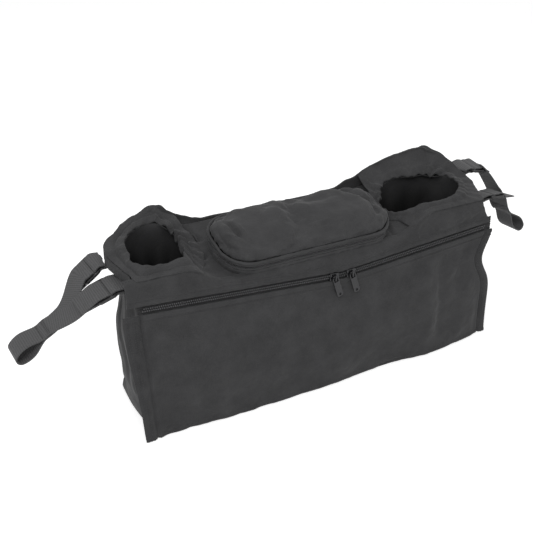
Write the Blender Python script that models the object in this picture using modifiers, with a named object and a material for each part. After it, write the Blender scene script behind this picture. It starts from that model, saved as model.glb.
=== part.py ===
# Stroller organizer: a soft bag with two cup pockets, a padded centre lid,
# a full-width front zip pocket and a buckled webbing strap at each end.
# Metres, +Z up, +X along the bag, -Y is the front. The origin is the middle of the base.
import math

import bmesh
import bpy
from mathutils import Matrix, Vector

# Bag body
BODY_LENGTH = 0.400
BASE_DEPTH = 0.100
RIM_FRONT_Y = -0.044
RIM_BACK_Y = 0.042
RIM_FRONT_FLARE_LEFT = 0.017
RIM_FRONT_TUCK_RIGHT = 0.010
RIM_BACK_TUCK_LEFT = 0.035
RIM_BACK_TUCK_RIGHT = 0.028
CORNER_RADIUS = 0.007
END_BULGE_LEFT = 0.0320
END_BULGE_RIGHT = 0.019
FRONT_SWEEP = 0.008
SWEEP_REACH = 0.085
SWEEP_HEIGHT = 0.110
END_X = BODY_LENGTH / 2

# Heights of the top surfaces at the middle of the depth, and their rise towards the back
LID_DECK_Z = 0.161
LID_DECK_SLOPE = 0.30
CUP_DECK_RISE = 0.016
CUP_DECK_Z = LID_DECK_Z + CUP_DECK_RISE
CUP_DECK_SLOPE = 0.20
RIM_PLAN_DROP = 0.009
RIM_PLAN_Z = CUP_DECK_Z - RIM_PLAN_DROP
BACK_STAND = 0.002
BACK_PEAK = 0.020
PEAK_LEFT_REACH = 0.095
PEAK_LEFT_TOP = 0.048
PEAK_RIGHT_REACH = 0.165
PEAK_RIGHT_TOP = 0.090

# Cloth and seams
WALL = 0.0016
BASE_BOARD = 0.0030
PANEL = 0.0012
TAPE = 0.0008
LINER = 0.0015
GAP = 0.0003
WALL_FOOT_Z = BASE_BOARD + 2 * GAP

# Cup pockets
CUP_LEFT_HALF_LENGTH = 0.035
CUP_LEFT_OVERHANG = 0.007
CUP_LEFT_X = -END_X - CUP_LEFT_OVERHANG + CUP_LEFT_HALF_LENGTH
CUP_RIGHT_HALF_LENGTH = 0.0495
CUP_RIGHT_INSET = 0.0205
CUP_RIGHT_X = END_X - CUP_RIGHT_INSET - CUP_RIGHT_HALF_LENGTH
CUP_Y = -0.004
CUP_HALF_DEPTH = 0.032
CUP_SHEAR = 0.16
CUP_FLOOR_Z = 0.045
CUP_TAPER = 0.82
COLLAR_HALF_WIDTH = 0.0048
COLLAR_HALF_HEIGHT = 0.0042
COLLAR_SEAT = 0.0006
DECK_CLEARANCE = 0.0014

# Lid, which fills the length between the cups
LID_ROOM_LEFT = 0.020
LID_ROOM_RIGHT = 0.0075
LID_LEFT_X = CUP_LEFT_X + CUP_LEFT_HALF_LENGTH + LID_ROOM_LEFT
LID_RIGHT_X = CUP_RIGHT_X - CUP_RIGHT_HALF_LENGTH - LID_ROOM_RIGHT
LID_X = (LID_LEFT_X + LID_RIGHT_X) / 2
LID_HALF_LENGTH = (LID_RIGHT_X - LID_LEFT_X) / 2
LID_Y = -0.009
LID_HALF_DEPTH = 0.0375
LID_CORNER = 0.029
LID_BAND_HEIGHT = 0.0052
LID_TAPE_HEIGHT = 0.0022
LID_COIL_RADIUS = 0.0009
LID_PIPING_RADIUS = 0.0012
LID_CROWN = 0.0155
LID_HINGE_HALF = 0.026
LID_HINGE_OFFSET = 0.032
LID_HINGE_X = LID_X + LID_HINGE_OFFSET
MOUTH_INSET = 0.008
STEP_ROOM = 0.003
STEP_RUN = 0.042
STEP_START = LID_HALF_LENGTH + STEP_ROOM
STEP_END = STEP_START + STEP_RUN
DIVIDER_LEFT_ROOM = 0.004
DIVIDER_RIGHT_ROOM = 0.0005
DIVIDER_LEFT_X = LID_LEFT_X - DIVIDER_LEFT_ROOM
DIVIDER_RIGHT_X = LID_RIGHT_X - DIVIDER_RIGHT_ROOM

# Front pocket and its zip
FLANGE = 0.013
POCKET_BULGE = 0.0055
ZIP_VALLEY_X = 0.006
ZIP_DROP = 0.036
ZIP_VALLEY_Z = LID_DECK_Z - ZIP_DROP
ZIP_VALLEY_EASE = 0.004
ZIP_SLOPE_LEFT = 0.078
ZIP_SLOPE_RIGHT = 0.072
ZIP_INSET_LEFT = 0.004
ZIP_INSET_RIGHT = 0.016
ZIP_END_LEFT = -END_X + ZIP_INSET_LEFT
ZIP_END_RIGHT = END_X - ZIP_INSET_RIGHT
ZIP_TAPE_WIDTH = 0.0095
ZIP_MOUTH = 0.0046
COIL_RADIUS = 0.0010
COIL_DEPTH = 2 * GAP + TAPE + COIL_RADIUS
SEAM_FLARE_LEFT = 0.008
SEAM_TUCK_RIGHT = 0.007
SEAM_DENT = 0.014
SEAM_DENT_Z = 0.100
SEAM_DENT_HALF = 0.022
YOKE_FLARE_LEFT = 0.006
YOKE_TUCK_RIGHT = 0.012
YOKE_PUFF = 0.0010
PANEL_FULL_DEPTH = 0.075
PANEL_FULL_FOOT = 0.045
PANEL_CREASES = ((0.128, 0.006, 0.0016), (-0.092, 0.012, -0.0012), (-0.152, 0.016, 0.0010))
PANEL_WAVE = 0.0010
PANEL_WAVE_RATE = 62.0

# Zip sliders and pulls
SLIDER_SPREAD = 0.010
SLIDER_LEFT_X = ZIP_VALLEY_X - SLIDER_SPREAD
SLIDER_RIGHT_X = ZIP_VALLEY_X + SLIDER_SPREAD
SLIDER_LENGTH = 0.0100
SLIDER_WIDTH = 0.0080
SLIDER_PLATE = 0.0011
SLIDER_LIP = 0.0011
SLIDER_BEVEL = 0.0006
ARCH_SINK = 0.0003
ARCH_SHARE = 0.86
ARCH_WIDTH = 0.0016
ARCH_THICK = 0.0009
PULL_AXIS_HEIGHT = 0.0017
ARCH_CLEARANCE = 0.0011
PULL_LENGTH = 0.0240
PULL_WIDTH = 0.0070
PULL_THICK = 0.0011
PULL_SKEW = 18.0
PULL_HEAD_RADIUS = 0.0010
PULL_TIP_RADIUS = 0.0022
PULL_TIP_TAPER = 0.0008
PULL_BAR = 0.0010
PULL_SIDE = 0.0011
PULL_EYE = 0.0046
PULL_HOLE_RADIUS = 0.0014
PULL_HOLE_INSET = 0.0035
LID_SLIDER_SCALE = 0.72
LID_SLIDER_PARK = 0.008

# Straps
WEB_WIDTH = 0.0250
WEB_THICK = 0.0012
BUCKLE_WIDTH = 0.0310
BUCKLE_THICK = 0.0022
BUCKLE_BAR = 0.0032
BUCKLE_SLOT = 0.0046
BUCKLE_CORNER = 0.003
WRAP_RADIUS = 0.0022
WRAP_SEAT = 0.0006
TAB_STRAIGHT = 0.0045
LAYER_OFFSET = 0.0009
SEWN_LENGTH = 0.009
LOOP_SWELL = 0.0062
LOOP_TIP_SWELL = 0.0048
STRAP_WALL_DROP = 0.017

# Strap places: reach out from the end wall, depth, and drop below the cups' top surface
LEFT_JOINT = (0.0657, -0.011, 0.050)
LEFT_TIP = (0.0987, -0.011, 0.071)
LEFT_FRONT_WAY = (0.0454, -0.017, 0.038)
LEFT_BACK_WAY = (0.0436, -0.003, 0.041)
LEFT_TAILS = (0.017, 0.009)
RIGHT_JOINT = (0.0443, -0.012, 0.040)
RIGHT_TIP = (0.0688, -0.014, 0.068)
RIGHT_BACK_WAY = (0.0405, 0.000, 0.022)
RIGHT_TAILS = (0.017, 0.010)

# Facets
ARC_COLUMNS = 4
CUP_COLUMNS = 36
MOUTH_COLUMNS = 28
CUT_LOW = 0.10
CUT_HIGH = 0.25

FABRIC = (0.045, 0.045, 0.046)
LINING = (0.020, 0.020, 0.021)
WEBBING = (0.075, 0.075, 0.076)
PLASTIC = (0.025, 0.025, 0.026)
COIL_BLACK = (0.018, 0.018, 0.018)
METAL = (0.030, 0.030, 0.032)


def clear_scene():
    for item in list(bpy.data.objects):
        bpy.data.objects.remove(item, do_unlink=True)


def make_collection(name):
    group = bpy.data.collections.new(name)
    bpy.context.scene.collection.children.link(group)
    return group


def make_material(name, colour, roughness, metallic=0.0):
    material = bpy.data.materials.new(name)
    material.use_nodes = True
    shader = material.node_tree.nodes["Principled BSDF"]
    shader.inputs["Base Color"].default_value = (*colour, 1.0)
    shader.inputs["Roughness"].default_value = roughness
    shader.inputs["Metallic"].default_value = metallic
    return material


clear_scene()
PARTS = make_collection("stroller_organizer")
CUTTERS = make_collection("cutters")


def smooth(low, high, value):
    t = min(1.0, max(0.0, (value - low) / (high - low)))
    return t * t * (3.0 - 2.0 * t)


def mix(a, b, t):
    return a + (b - a) * t


# Surfaces that the pieces share


def deck_z(x, y):
    """Height of the top panel's upper face."""
    lid = LID_DECK_Z + LID_DECK_SLOPE * y
    cup = CUP_DECK_Z + CUP_DECK_SLOPE * y
    step = smooth(STEP_START, STEP_END, abs(x - LID_X))
    return mix(lid, cup, step)


def rim_z(x, y):
    """Height of the walls' upper edge: level with the deck, and standing up at the back."""
    back = smooth(0.0, RIM_BACK_Y, y)
    if x < LID_X:
        rise = smooth(-END_X + PEAK_LEFT_REACH, -END_X + PEAK_LEFT_TOP, x)
    else:
        rise = smooth(END_X - PEAK_RIGHT_REACH, END_X - PEAK_RIGHT_TOP, x)
    return deck_z(x, y) + (BACK_STAND + BACK_PEAK * rise) * back


def settle(x, y, z):
    """The lower front right corner of the soft bag sits back a little."""
    front = smooth(0.0, RIM_FRONT_Y, y)
    low = smooth(SWEEP_HEIGHT, 0.0, z)
    return Vector((x, y + FRONT_SWEEP * smooth(END_X - SWEEP_REACH, END_X, x) * front * low, z))


def front_y(x, z):
    """Outer face of the front wall between its corners."""
    return settle(x, mix(-BASE_DEPTH / 2, RIM_FRONT_Y, wall_share(z)), z).y


def corner(index, t):
    """Corners in the order front left, front right, back right, back left."""
    deep = BASE_DEPTH / 2
    base = [(-END_X, -deep), (END_X, -deep), (END_X, deep), (-END_X, deep)]
    rim = [
        (-END_X - RIM_FRONT_FLARE_LEFT, RIM_FRONT_Y),
        (END_X - RIM_FRONT_TUCK_RIGHT, RIM_FRONT_Y),
        (END_X - RIM_BACK_TUCK_RIGHT, RIM_BACK_Y),
        (-END_X + RIM_BACK_TUCK_LEFT, RIM_BACK_Y),
    ]
    return Vector(base[index % 4]).lerp(Vector(rim[index % 4]), t)


SIDES = ("front", "right", "back", "left")
ARC_SHARE = 0.12


def fillet(index, t, share):
    """Point on the rounded corner, share 0 at its start, 0.5 at its middle and 1 at its end."""
    point = corner(index, t)
    entering = (point - corner(index - 1, t)).normalized()
    leaving = (corner(index + 1, t) - point).normalized()
    turn = entering.angle(leaving)
    reach = CORNER_RADIUS * math.tan(turn / 2)
    inward = Vector((-entering.y, entering.x))
    centre = point - entering * reach + inward * CORNER_RADIUS
    angle = math.atan2(-inward.y, -inward.x) + turn * share
    return centre + CORNER_RADIUS * Vector((math.cos(angle), math.sin(angle)))


def side_xy(side, u, t):
    """Plan of one wall from the middle of one rounded corner to the middle of the next."""
    first = SIDES.index(side)
    if u < ARC_SHARE:
        return fillet(first, t, 0.5 + 0.5 * u / ARC_SHARE)
    if u > 1.0 - ARC_SHARE:
        return fillet(first + 1, t, 0.5 * (u - 1.0 + ARC_SHARE) / ARC_SHARE)
    start = fillet(first, t, 1.0)
    end = fillet(first + 1, t, 0.0)
    run = (u - ARC_SHARE) / (1.0 - 2.0 * ARC_SHARE)
    outward = Vector((end.y - start.y, start.x - end.x)).normalized()
    bulge = {"right": END_BULGE_RIGHT, "left": END_BULGE_LEFT}.get(side, 0.0) * t
    return start.lerp(end, run) + outward * bulge * math.sin(math.pi * run)


def wall_share(z):
    """How far a height lies between the foot's plan, 0, and the rim's plan, 1."""
    return (z - WALL_FOOT_Z) / (RIM_PLAN_Z - WALL_FOOT_Z)


def wall_point(side, u, v):
    rim = side_xy(side, u, 1.0)
    z = mix(WALL_FOOT_Z, rim_z(rim.x, rim.y), v)
    flat = side_xy(side, u, wall_share(z))
    return settle(flat.x, flat.y, z)


def end_x(side, y, z):
    """Outer face of an end wall at a given depth and height."""
    places = [side_xy(side, n / 80, wall_share(z)) for n in range(81)]
    for before, after in zip(places, places[1:]):
        if min(before.y, after.y) <= y <= max(before.y, after.y):
            return mix(before.x, after.x, (y - before.y) / (after.y - before.y))
    return min(places, key=lambda p: abs(p.y - y)).x


def spaced(*runs):
    """Stations along several runs, each given as its start, its end and its number of steps."""
    stations = [runs[0][0]]
    for low, high, steps in runs:
        stations += [mix(low, high, (n + 1) / steps) for n in range(steps)]
    return stations


def zip_z(x):
    """Height of the pocket zip: two straight runs that meet in a shallow valley."""
    run = x - ZIP_VALLEY_X
    slope = ZIP_SLOPE_LEFT if run < 0 else ZIP_SLOPE_RIGHT
    return ZIP_VALLEY_Z + slope * (math.hypot(run, ZIP_VALLEY_EASE) - ZIP_VALLEY_EASE)


# Builders


def finish_object(name, mesh, material):
    item = bpy.data.objects.new(name, mesh)
    PARTS.objects.link(item)
    mesh.materials.append(material)
    return item


def grid_mesh(name, columns, rows, place, flip=False, fill_ends=False):
    """A grid whose point at u, v (0 to 1) goes to place(u, v), closed where its edges meet."""
    mesh = bpy.data.meshes.new(name)
    bm = bmesh.new()
    bmesh.ops.create_grid(bm, x_segments=columns, y_segments=rows, size=0.5)
    for vert in bm.verts:
        vert.co = Vector(place(vert.co.x + 0.5, vert.co.y + 0.5))
    bmesh.ops.remove_doubles(bm, verts=bm.verts, dist=1e-6)
    if fill_ends:
        bmesh.ops.holes_fill(bm, edges=[e for e in bm.edges if e.is_boundary], sides=0)
    if flip:
        bmesh.ops.reverse_faces(bm, faces=bm.faces)
    bm.to_mesh(mesh)
    bm.free()
    return mesh


def sheet(name, columns, rows, place, thickness, material, flip=False, offset=-1.0):
    """Cloth whose outer face is the grid, with its thickness laid inwards."""
    item = finish_object(name, grid_mesh(name, columns, rows, place, flip), material)
    solidify = item.modifiers.new("Thickness", "SOLIDIFY")
    solidify.thickness = thickness
    solidify.offset = offset
    solidify.use_even_offset = True
    item.data.shade_smooth()
    return item


def solid(name, columns, rows, place, material, flip=False, fill_ends=False):
    """A closed form whose grid wraps round on itself."""
    item = finish_object(name, grid_mesh(name, columns, rows, place, flip, fill_ends), material)
    item.data.shade_smooth()
    return item


def plate_mesh(name, loops, thickness, turn=Matrix.Identity(4)):
    """A flat plate from an outline and its holes, centred on its own plane and then turned."""
    curve = bpy.data.curves.new(name, "CURVE")
    curve.dimensions = "2D"
    curve.fill_mode = "BOTH"
    curve.extrude = thickness / 2
    for loop in loops:
        spline = curve.splines.new("POLY")
        spline.points.add(len(loop) - 1)
        for point, place in zip(spline.points, loop):
            point.co = (place[0], place[1], 0.0, 1.0)
        spline.use_cyclic_u = True
    source = bpy.data.objects.new(name + "_outline", curve)
    PARTS.objects.link(source)
    shape = source.evaluated_get(bpy.context.evaluated_depsgraph_get())
    mesh = bpy.data.meshes.new_from_object(shape)
    bpy.data.objects.remove(source, do_unlink=True)
    bm = bmesh.new()
    bm.from_mesh(mesh)
    bmesh.ops.remove_doubles(bm, verts=bm.verts, dist=1e-6)
    bmesh.ops.recalc_face_normals(bm, faces=bm.faces)
    bm.to_mesh(mesh)
    bm.free()
    mesh.transform(turn)
    mesh.name = name
    return mesh


def plate(name, loops, thickness, frame, material, turn=Matrix.Identity(4)):
    """A plate whose origin and axes are those of its frame."""
    item = finish_object(name, plate_mesh(name, loops, thickness, turn), material)
    item.matrix_world = frame
    return item


def attach(item, parent):
    """Parents a piece and leaves it where it is."""
    place = item.matrix_world.copy()
    item.parent = parent
    item.matrix_parent_inverse = parent.matrix_world.inverted()
    item.matrix_world = place


def hide_cutter(item):
    item.hide_render = True
    item.display_type = "WIRE"
    return item


def prism(name, outline):
    """An upright cutter with the given plan."""
    count = len(outline)

    def place(u, v):
        level = CUT_LOW if v < 0.5 else CUT_HIGH
        if abs(v - 0.5) > 0.3:
            return (*centre, level)
        return (*outline[round(u * count) % count], level)

    centre = (sum(p[0] for p in outline) / count, sum(p[1] for p in outline) / count)
    item = bpy.data.objects.new(name, grid_mesh(name, count, 3, place))
    CUTTERS.objects.link(item)
    return hide_cutter(item)


def cut(item, cutter, operation):
    boolean = item.modifiers.new(cutter.name, "BOOLEAN")
    boolean.operation = operation
    boolean.object = cutter
    boolean.solver = "EXACT"


# Bag shell


def side_step(u, columns):
    """Place along a wall for a column of its grid, with ARC_COLUMNS columns on each rounded end."""
    chord_turn = math.pi / 8 / ARC_COLUMNS
    shy = GAP / 2 + WALL * math.tan(chord_turn) * 1.2
    trim = ARC_SHARE * shy / (CORNER_RADIUS * math.pi / 4)
    column = u * columns
    if column <= ARC_COLUMNS:
        return mix(trim, ARC_SHARE, column / ARC_COLUMNS)
    if column >= columns - ARC_COLUMNS:
        return 1.0 - mix(trim, ARC_SHARE, (columns - column) / ARC_COLUMNS)
    return mix(ARC_SHARE, 1.0 - ARC_SHARE, (column - ARC_COLUMNS) / (columns - 2 * ARC_COLUMNS))


def make_shell(cloth, board):
    for name, side, columns, rows in (
        ("front_wall", "front", 34, 4),
        ("right_end_panel", "right", 20, 4),
        ("back_panel", "back", 38, 4),
        ("left_end_panel", "left", 22, 4),
    ):
        def place(u, v, side=side, columns=columns):
            return wall_point(side, side_step(u, columns), v)

        sheet(name, columns, rows, place, WALL, cloth)

    outline = []
    for side in SIDES:
        for step in range(16):
            flat = side_xy(side, step / 16, 0.0)
            place = settle(flat.x, flat.y, 0.0)
            outline.append((place.x, place.y))
    frame = Matrix.Translation((0.0, 0.0, BASE_BOARD / 2))
    plate("bottom_panel", [outline], BASE_BOARD, frame, board)


def inner_front(x, z):
    return front_y(x, z) + WALL + GAP


def inner_back(z):
    return mix(BASE_DEPTH / 2, RIM_BACK_Y, wall_share(z)) - WALL - GAP


def make_dividers(cloth):
    for name, x in (("left_divider", DIVIDER_LEFT_X), ("right_divider", DIVIDER_RIGHT_X)):
        def place(u, v, x=x):
            top = LID_DECK_Z + LID_DECK_SLOPE * mix(RIM_FRONT_Y, RIM_BACK_Y, u) - PANEL - 3 * GAP
            z = mix(BASE_BOARD + GAP, top, v)
            return (x, mix(inner_front(x, z), inner_back(z), u), z)

        sheet(name, 6, 6, place, PANEL, cloth, offset=0.0)


def deck_outline():
    """Plan of the top panel: the rim's plan, one wall and one gap inside it."""
    points = []
    for side in SIDES:
        for step in range(20):
            t = 1.0
            for _ in range(3):
                flat = side_xy(side, step / 20, t)
                t = wall_share(deck_z(flat.x, flat.y) - PANEL)
            before = side_xy(side, max(0.0, step / 20 - 0.01), t)
            after = side_xy(side, min(1.0, step / 20 + 0.01), t)
            inward = Vector((before.y - after.y, after.x - before.x)).normalized()
            flat = side_xy(side, step / 20, t) + inward * (WALL + DECK_CLEARANCE)
            points.append((flat.x, flat.y))
    return points


def cup_plan(centre_x, half_length, half_depth, angle, power=2.2):
    """A soft rounded rectangle, leaning a little with the end wall."""
    c, s = math.cos(angle), math.sin(angle)
    x = half_length * math.copysign(abs(c) ** (2 / power), c)
    y = half_depth * math.copysign(abs(s) ** (2 / power), s)
    lean = CUP_SHEAR if centre_x < 0 else -CUP_SHEAR
    return centre_x + x + lean * y, CUP_Y + y


def lid_plan(grow, share):
    """The lid's edge grown by an offset, share 0 to 1 counter-clockwise from the middle of its back."""
    radius = LID_CORNER + grow
    straight_x = LID_HALF_LENGTH - LID_CORNER
    straight_y = LID_HALF_DEPTH - LID_CORNER
    arc = math.pi * radius / 2
    runs = [straight_x, arc, 2 * straight_y, arc, 2 * straight_x, arc, 2 * straight_y, arc, straight_x]
    along = (share % 1.0) * sum(runs)
    place = Vector((0.0, LID_HALF_DEPTH + grow))
    heading = math.pi
    for number, run in enumerate(runs):
        step = min(along, run)
        if number % 2:
            turn = step / radius
            side = Vector((-math.sin(heading), math.cos(heading)))
            middle = place + side * radius
            place = middle + radius * Vector((math.sin(heading + turn), -math.cos(heading + turn)))
            heading += turn
        else:
            place = place + step * Vector((math.cos(heading), math.sin(heading)))
        along -= step
        if along <= 0:
            break
    return place


LID_TILT = math.atan(LID_DECK_SLOPE)
LID_FRAME = (
    Matrix.Translation((LID_X, LID_Y, LID_DECK_Z + LID_DECK_SLOPE * LID_Y))
    @ Matrix.Rotation(LID_TILT, 4, "X")
)


def make_deck(cloth):
    reach = END_X + STEP_RUN
    stations = spaced(
        (-reach, LID_X - STEP_END, 4), (LID_X - STEP_END, LID_X - STEP_START, 8),
        (LID_X - STEP_START, LID_X + STEP_START, 4), (LID_X + STEP_START, LID_X + STEP_END, 8),
        (LID_X + STEP_END, reach, 4),
    )
    columns = len(stations) - 1

    def place(u, v):
        x = stations[round(u * columns)]
        y = mix(RIM_FRONT_Y - 0.01, RIM_BACK_Y + 0.01, v)
        return (x, y, deck_z(x, y))

    deck = sheet("top_panel", columns, 2, place, PANEL, cloth)
    deck.modifiers.new("Flat faces", "TRIANGULATE")
    for name, centre_x, half in (
        ("left_cup_hole", CUP_LEFT_X, CUP_LEFT_HALF_LENGTH),
        ("right_cup_hole", CUP_RIGHT_X, CUP_RIGHT_HALF_LENGTH),
    ):
        turns = [2 * math.pi * n / CUP_COLUMNS for n in range(CUP_COLUMNS)]
        plan = [cup_plan(centre_x, half, CUP_HALF_DEPTH, turn) for turn in turns]
        cut(deck, prism(name, plan), "DIFFERENCE")
    mouth = []
    for n in range(MOUTH_COLUMNS):
        flat = lid_plan(-MOUTH_INSET, n / MOUTH_COLUMNS)
        mouth.append((LID_X + flat.x, LID_Y + flat.y))
    cut(deck, prism("compartment_mouth", mouth), "DIFFERENCE")
    cut(deck, prism("deck_edge", deck_outline()), "INTERSECT")


# Cup pockets


def make_cup(side_name, centre_x, half_length, lining, cloth):
    clearance = LINER + 2 * GAP

    def collar(u, v):
        angle = 2 * math.pi * u
        radial = COLLAR_HALF_WIDTH * math.cos(2 * math.pi * v)
        x, y = cup_plan(centre_x, half_length + radial, CUP_HALF_DEPTH + radial, angle)
        lift = COLLAR_SEAT + COLLAR_HALF_HEIGHT * (1.0 + math.sin(2 * math.pi * v))
        return (x, y, deck_z(x, y) + lift)

    solid(f"{side_name}_cup_collar", CUP_COLUMNS, 8, collar, cloth)

    def liner(u, v):
        depth = min(1.0, v / 0.5)
        spread = 1.0 if v <= 0.5 else 1.0 - (v - 0.5) / 0.5
        shrink = mix(1.0, CUP_TAPER, depth) * spread
        length = (half_length - GAP) * shrink
        width = (CUP_HALF_DEPTH - GAP) * shrink
        x, y = cup_plan(centre_x, length, width, 2 * math.pi * u)
        rim_x, rim_y = cup_plan(centre_x, half_length - clearance, CUP_HALF_DEPTH - clearance, 2 * math.pi * u)
        hole_x, hole_y = cup_plan(centre_x, half_length, CUP_HALF_DEPTH, 2 * math.pi * u)
        top = min(deck_z(rim_x, rim_y), deck_z(hole_x, hole_y)) - PANEL
        return (x, y, mix(top, CUP_FLOOR_Z, depth))

    sheet(f"{side_name}_cup_liner", CUP_COLUMNS, 4, liner, LINER, lining, flip=True)


# Lid


def lid_ring(name, columns, low, high, inner, outer, material, start=0.0, end=1.0, rows=4):
    """A band that follows the lid's edge, from low to high above the deck and between two offsets."""
    closed = end - start >= 1.0
    corners = [(outer, low), (outer, high), (inner, high), (inner, low)]

    def place(u, v):
        grow, rise = corners[round(v * rows) % rows]
        flat = lid_plan(grow, mix(start, end, u))
        return LID_FRAME @ Vector((flat.x, flat.y, rise))

    item = solid(name, columns, rows, place, material, fill_ends=not closed)
    item.data.set_sharp_from_angle(angle=math.radians(40))
    return item


def lid_cord(name, columns, offset, rise, radius, material, start=0.0, end=1.0):
    """A round cord that follows the lid's edge."""
    closed = end - start >= 1.0

    def place(u, v):
        angle = 2 * math.pi * v
        grow = offset + radius * math.cos(angle)
        flat = lid_plan(grow, mix(start, end, u))
        return LID_FRAME @ Vector((flat.x, flat.y, rise + radius * math.sin(angle)))

    return solid(name, columns, 6, place, material, fill_ends=not closed)


def lid_share(x):
    """Where along the lid's edge a place on its back side lies, from the middle of that side."""
    perimeter = (
        4 * (LID_HALF_LENGTH - LID_CORNER)
        + 4 * (LID_HALF_DEPTH - LID_CORNER)
        + 2 * math.pi * LID_CORNER
    )
    return -(x - LID_X) / perimeter


LID_ZIP_START = lid_share(LID_HINGE_X - LID_HINGE_HALF)
LID_ZIP_END = 1.0 + lid_share(LID_HINGE_X + LID_HINGE_HALF)
LID_LEVEL_1 = GAP + LID_BAND_HEIGHT
LID_LEVEL_2 = LID_LEVEL_1 + GAP + LID_TAPE_HEIGHT
LID_COIL_LEVEL = LID_LEVEL_2 + GAP + LID_COIL_RADIUS
LID_LEVEL_3 = LID_COIL_LEVEL + LID_COIL_RADIUS + GAP
LID_LEVEL_4 = LID_LEVEL_3 + LID_TAPE_HEIGHT
LID_PAD_LEVEL = LID_LEVEL_4 + GAP


def make_lid(cloth, tape, coil):
    lid_ring("lid_band", 44, GAP, LID_LEVEL_1, -WALL, 0.0, cloth)
    thin = dict(start=LID_ZIP_START, end=LID_ZIP_END)
    face = -LID_COIL_RADIUS - GAP
    lid_ring("lid_zip_outer_tape", 40, LID_LEVEL_1 + GAP, LID_LEVEL_2, face - TAPE, face, tape, **thin)
    lid_cord("lid_zip_coil", 40, 0.0, LID_COIL_LEVEL, LID_COIL_RADIUS, coil, **thin)
    lid_ring("lid_zip_inner_tape", 40, LID_LEVEL_3, LID_LEVEL_4, face - TAPE, face, tape, **thin)

    edge = 0.0015
    lid_ring(
        "lid_hinge", 8, LID_LEVEL_1 + GAP, LID_LEVEL_4, -PANEL, 0.0, cloth,
        start=LID_ZIP_END + edge, end=1.0 + LID_ZIP_START - edge,
    )
    lid_cord(
        "lid_piping", 44, -LID_PIPING_RADIUS, LID_PAD_LEVEL + LID_PIPING_RADIUS, LID_PIPING_RADIUS, cloth
    )

    profile = [
        (0.0, 0.0), (0.6, 0.0), (0.985, 0.0), (1.0, 0.0022), (0.97, 0.0065), (0.88, 0.0110),
        (0.70, 0.0140), (0.42, 0.0153), (0.0, 0.0155),
    ]
    rows = len(profile) - 1
    inset = 2 * LID_PIPING_RADIUS + GAP

    def pad(u, v):
        spread, rise = profile[round(v * rows)]
        flat = lid_plan(-inset, u) * spread
        return LID_FRAME @ Vector((flat.x, flat.y, LID_PAD_LEVEL + rise * LID_CROWN / profile[-1][1]))

    solid("lid_pad", 36, rows, pad, cloth)


# Front zip pocket


def panel_face(x, z):
    """Outer face of the pocket panel: flat at its seams and zip, full below."""
    across = max(0.0, 1.0 - (x / (END_X - ZIP_INSET_LEFT)) ** 4)
    top = zip_z(x) - ZIP_MOUTH
    down = smooth(0.0, PANEL_FULL_DEPTH, top - z) * smooth(0.0, PANEL_FULL_FOOT, z)
    fold = PANEL_WAVE * math.sin(PANEL_WAVE_RATE * x + 0.8)
    for middle, half, height in PANEL_CREASES:
        fold += height * math.exp(-(((x - middle) / half) ** 2))
    stack = 2 * GAP + TAPE + PANEL
    return front_y(x, z) - stack - (POCKET_BULGE + fold) * across * down


def seam_left_x(z):
    return -END_X - SEAM_FLARE_LEFT * min(1.0, z / ZIP_VALLEY_Z)


def seam_right_x(z):
    dent = math.exp(-(((z - SEAM_DENT_Z) / SEAM_DENT_HALF) ** 2))
    return END_X - SEAM_TUCK_RIGHT * min(1.0, z / ZIP_VALLEY_Z) - SEAM_DENT * dent


def make_pocket(cloth, tape, coil):
    flange_columns = 2
    columns = 34

    def panel(u, v):
        left, right = seam_left_x, seam_right_x
        column = u * columns
        low = 2 * GAP
        z = low
        for _ in range(2):
            if column <= flange_columns:
                x = left(z) - FLANGE * (1.0 - column / flange_columns)
            elif column >= columns - flange_columns:
                x = right(z) + FLANGE * (column - columns + flange_columns) / flange_columns
            else:
                x = mix(left(z), right(z), (column - flange_columns) / (columns - 2 * flange_columns))
            z = mix(low, zip_z(x) - ZIP_MOUTH, v)
        return (x, panel_face(x, z), z)

    sheet("front_pocket_panel", columns, 9, panel, PANEL, cloth)

    def strip(face, low, high):
        def place(u, v):
            x = mix(ZIP_END_LEFT, ZIP_END_RIGHT, u)
            z = zip_z(x) + mix(low, high, v)
            return (x, front_y(x, z) - face, z)
        return place

    sheet("front_zip_upper_tape", 20, 1, strip(GAP + TAPE, GAP, ZIP_TAPE_WIDTH), TAPE, tape)
    sheet("front_zip_lower_tape", 20, 1, strip(GAP + TAPE, -ZIP_TAPE_WIDTH, -GAP), TAPE, tape)

    def coil_point(u, v):
        x = mix(ZIP_END_LEFT, ZIP_END_RIGHT, u)
        z = zip_z(x)
        angle = 2 * math.pi * v
        y = front_y(x, z) - COIL_DEPTH - COIL_RADIUS * math.cos(angle)
        return (x, y, z + COIL_RADIUS * math.sin(angle))

    solid("front_zip_coil", 20, 6, coil_point, coil, fill_ends=True)

    def yoke(u, v):
        x = mix(-END_X - YOKE_FLARE_LEFT, END_X - YOKE_TUCK_RIGHT, u)
        low = zip_z(x) + ZIP_MOUTH
        z = mix(low, rim_z(x, RIM_FRONT_Y) - GAP, v)
        puff = YOKE_PUFF * math.sin(math.pi * v) * (1.0 + 0.6 * math.sin(48.0 * x))
        return (x, front_y(x, z) - 2 * GAP - TAPE - PANEL - puff, z)

    sheet("front_yoke", 34, 3, yoke, PANEL, cloth)


# Zip sliders


def slider_frame(x, slope):
    """Axes of a slider: X along the zip, Y up across it, Z out of the bag's front."""
    z = zip_z(x)
    along = Vector((1.0, front_y(x + 0.01, z + 0.01 * slope) * 100 - front_y(x, z) * 100, slope)).normalized()
    out = Vector((0.0, -1.0, 0.0))
    out = (out - along * out.dot(along)).normalized()
    up = out.cross(along)
    place = Vector((x, front_y(x, z) - COIL_DEPTH, z))
    return Matrix.Translation(place) @ Matrix((along, up, out)).transposed().to_4x4()


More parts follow.
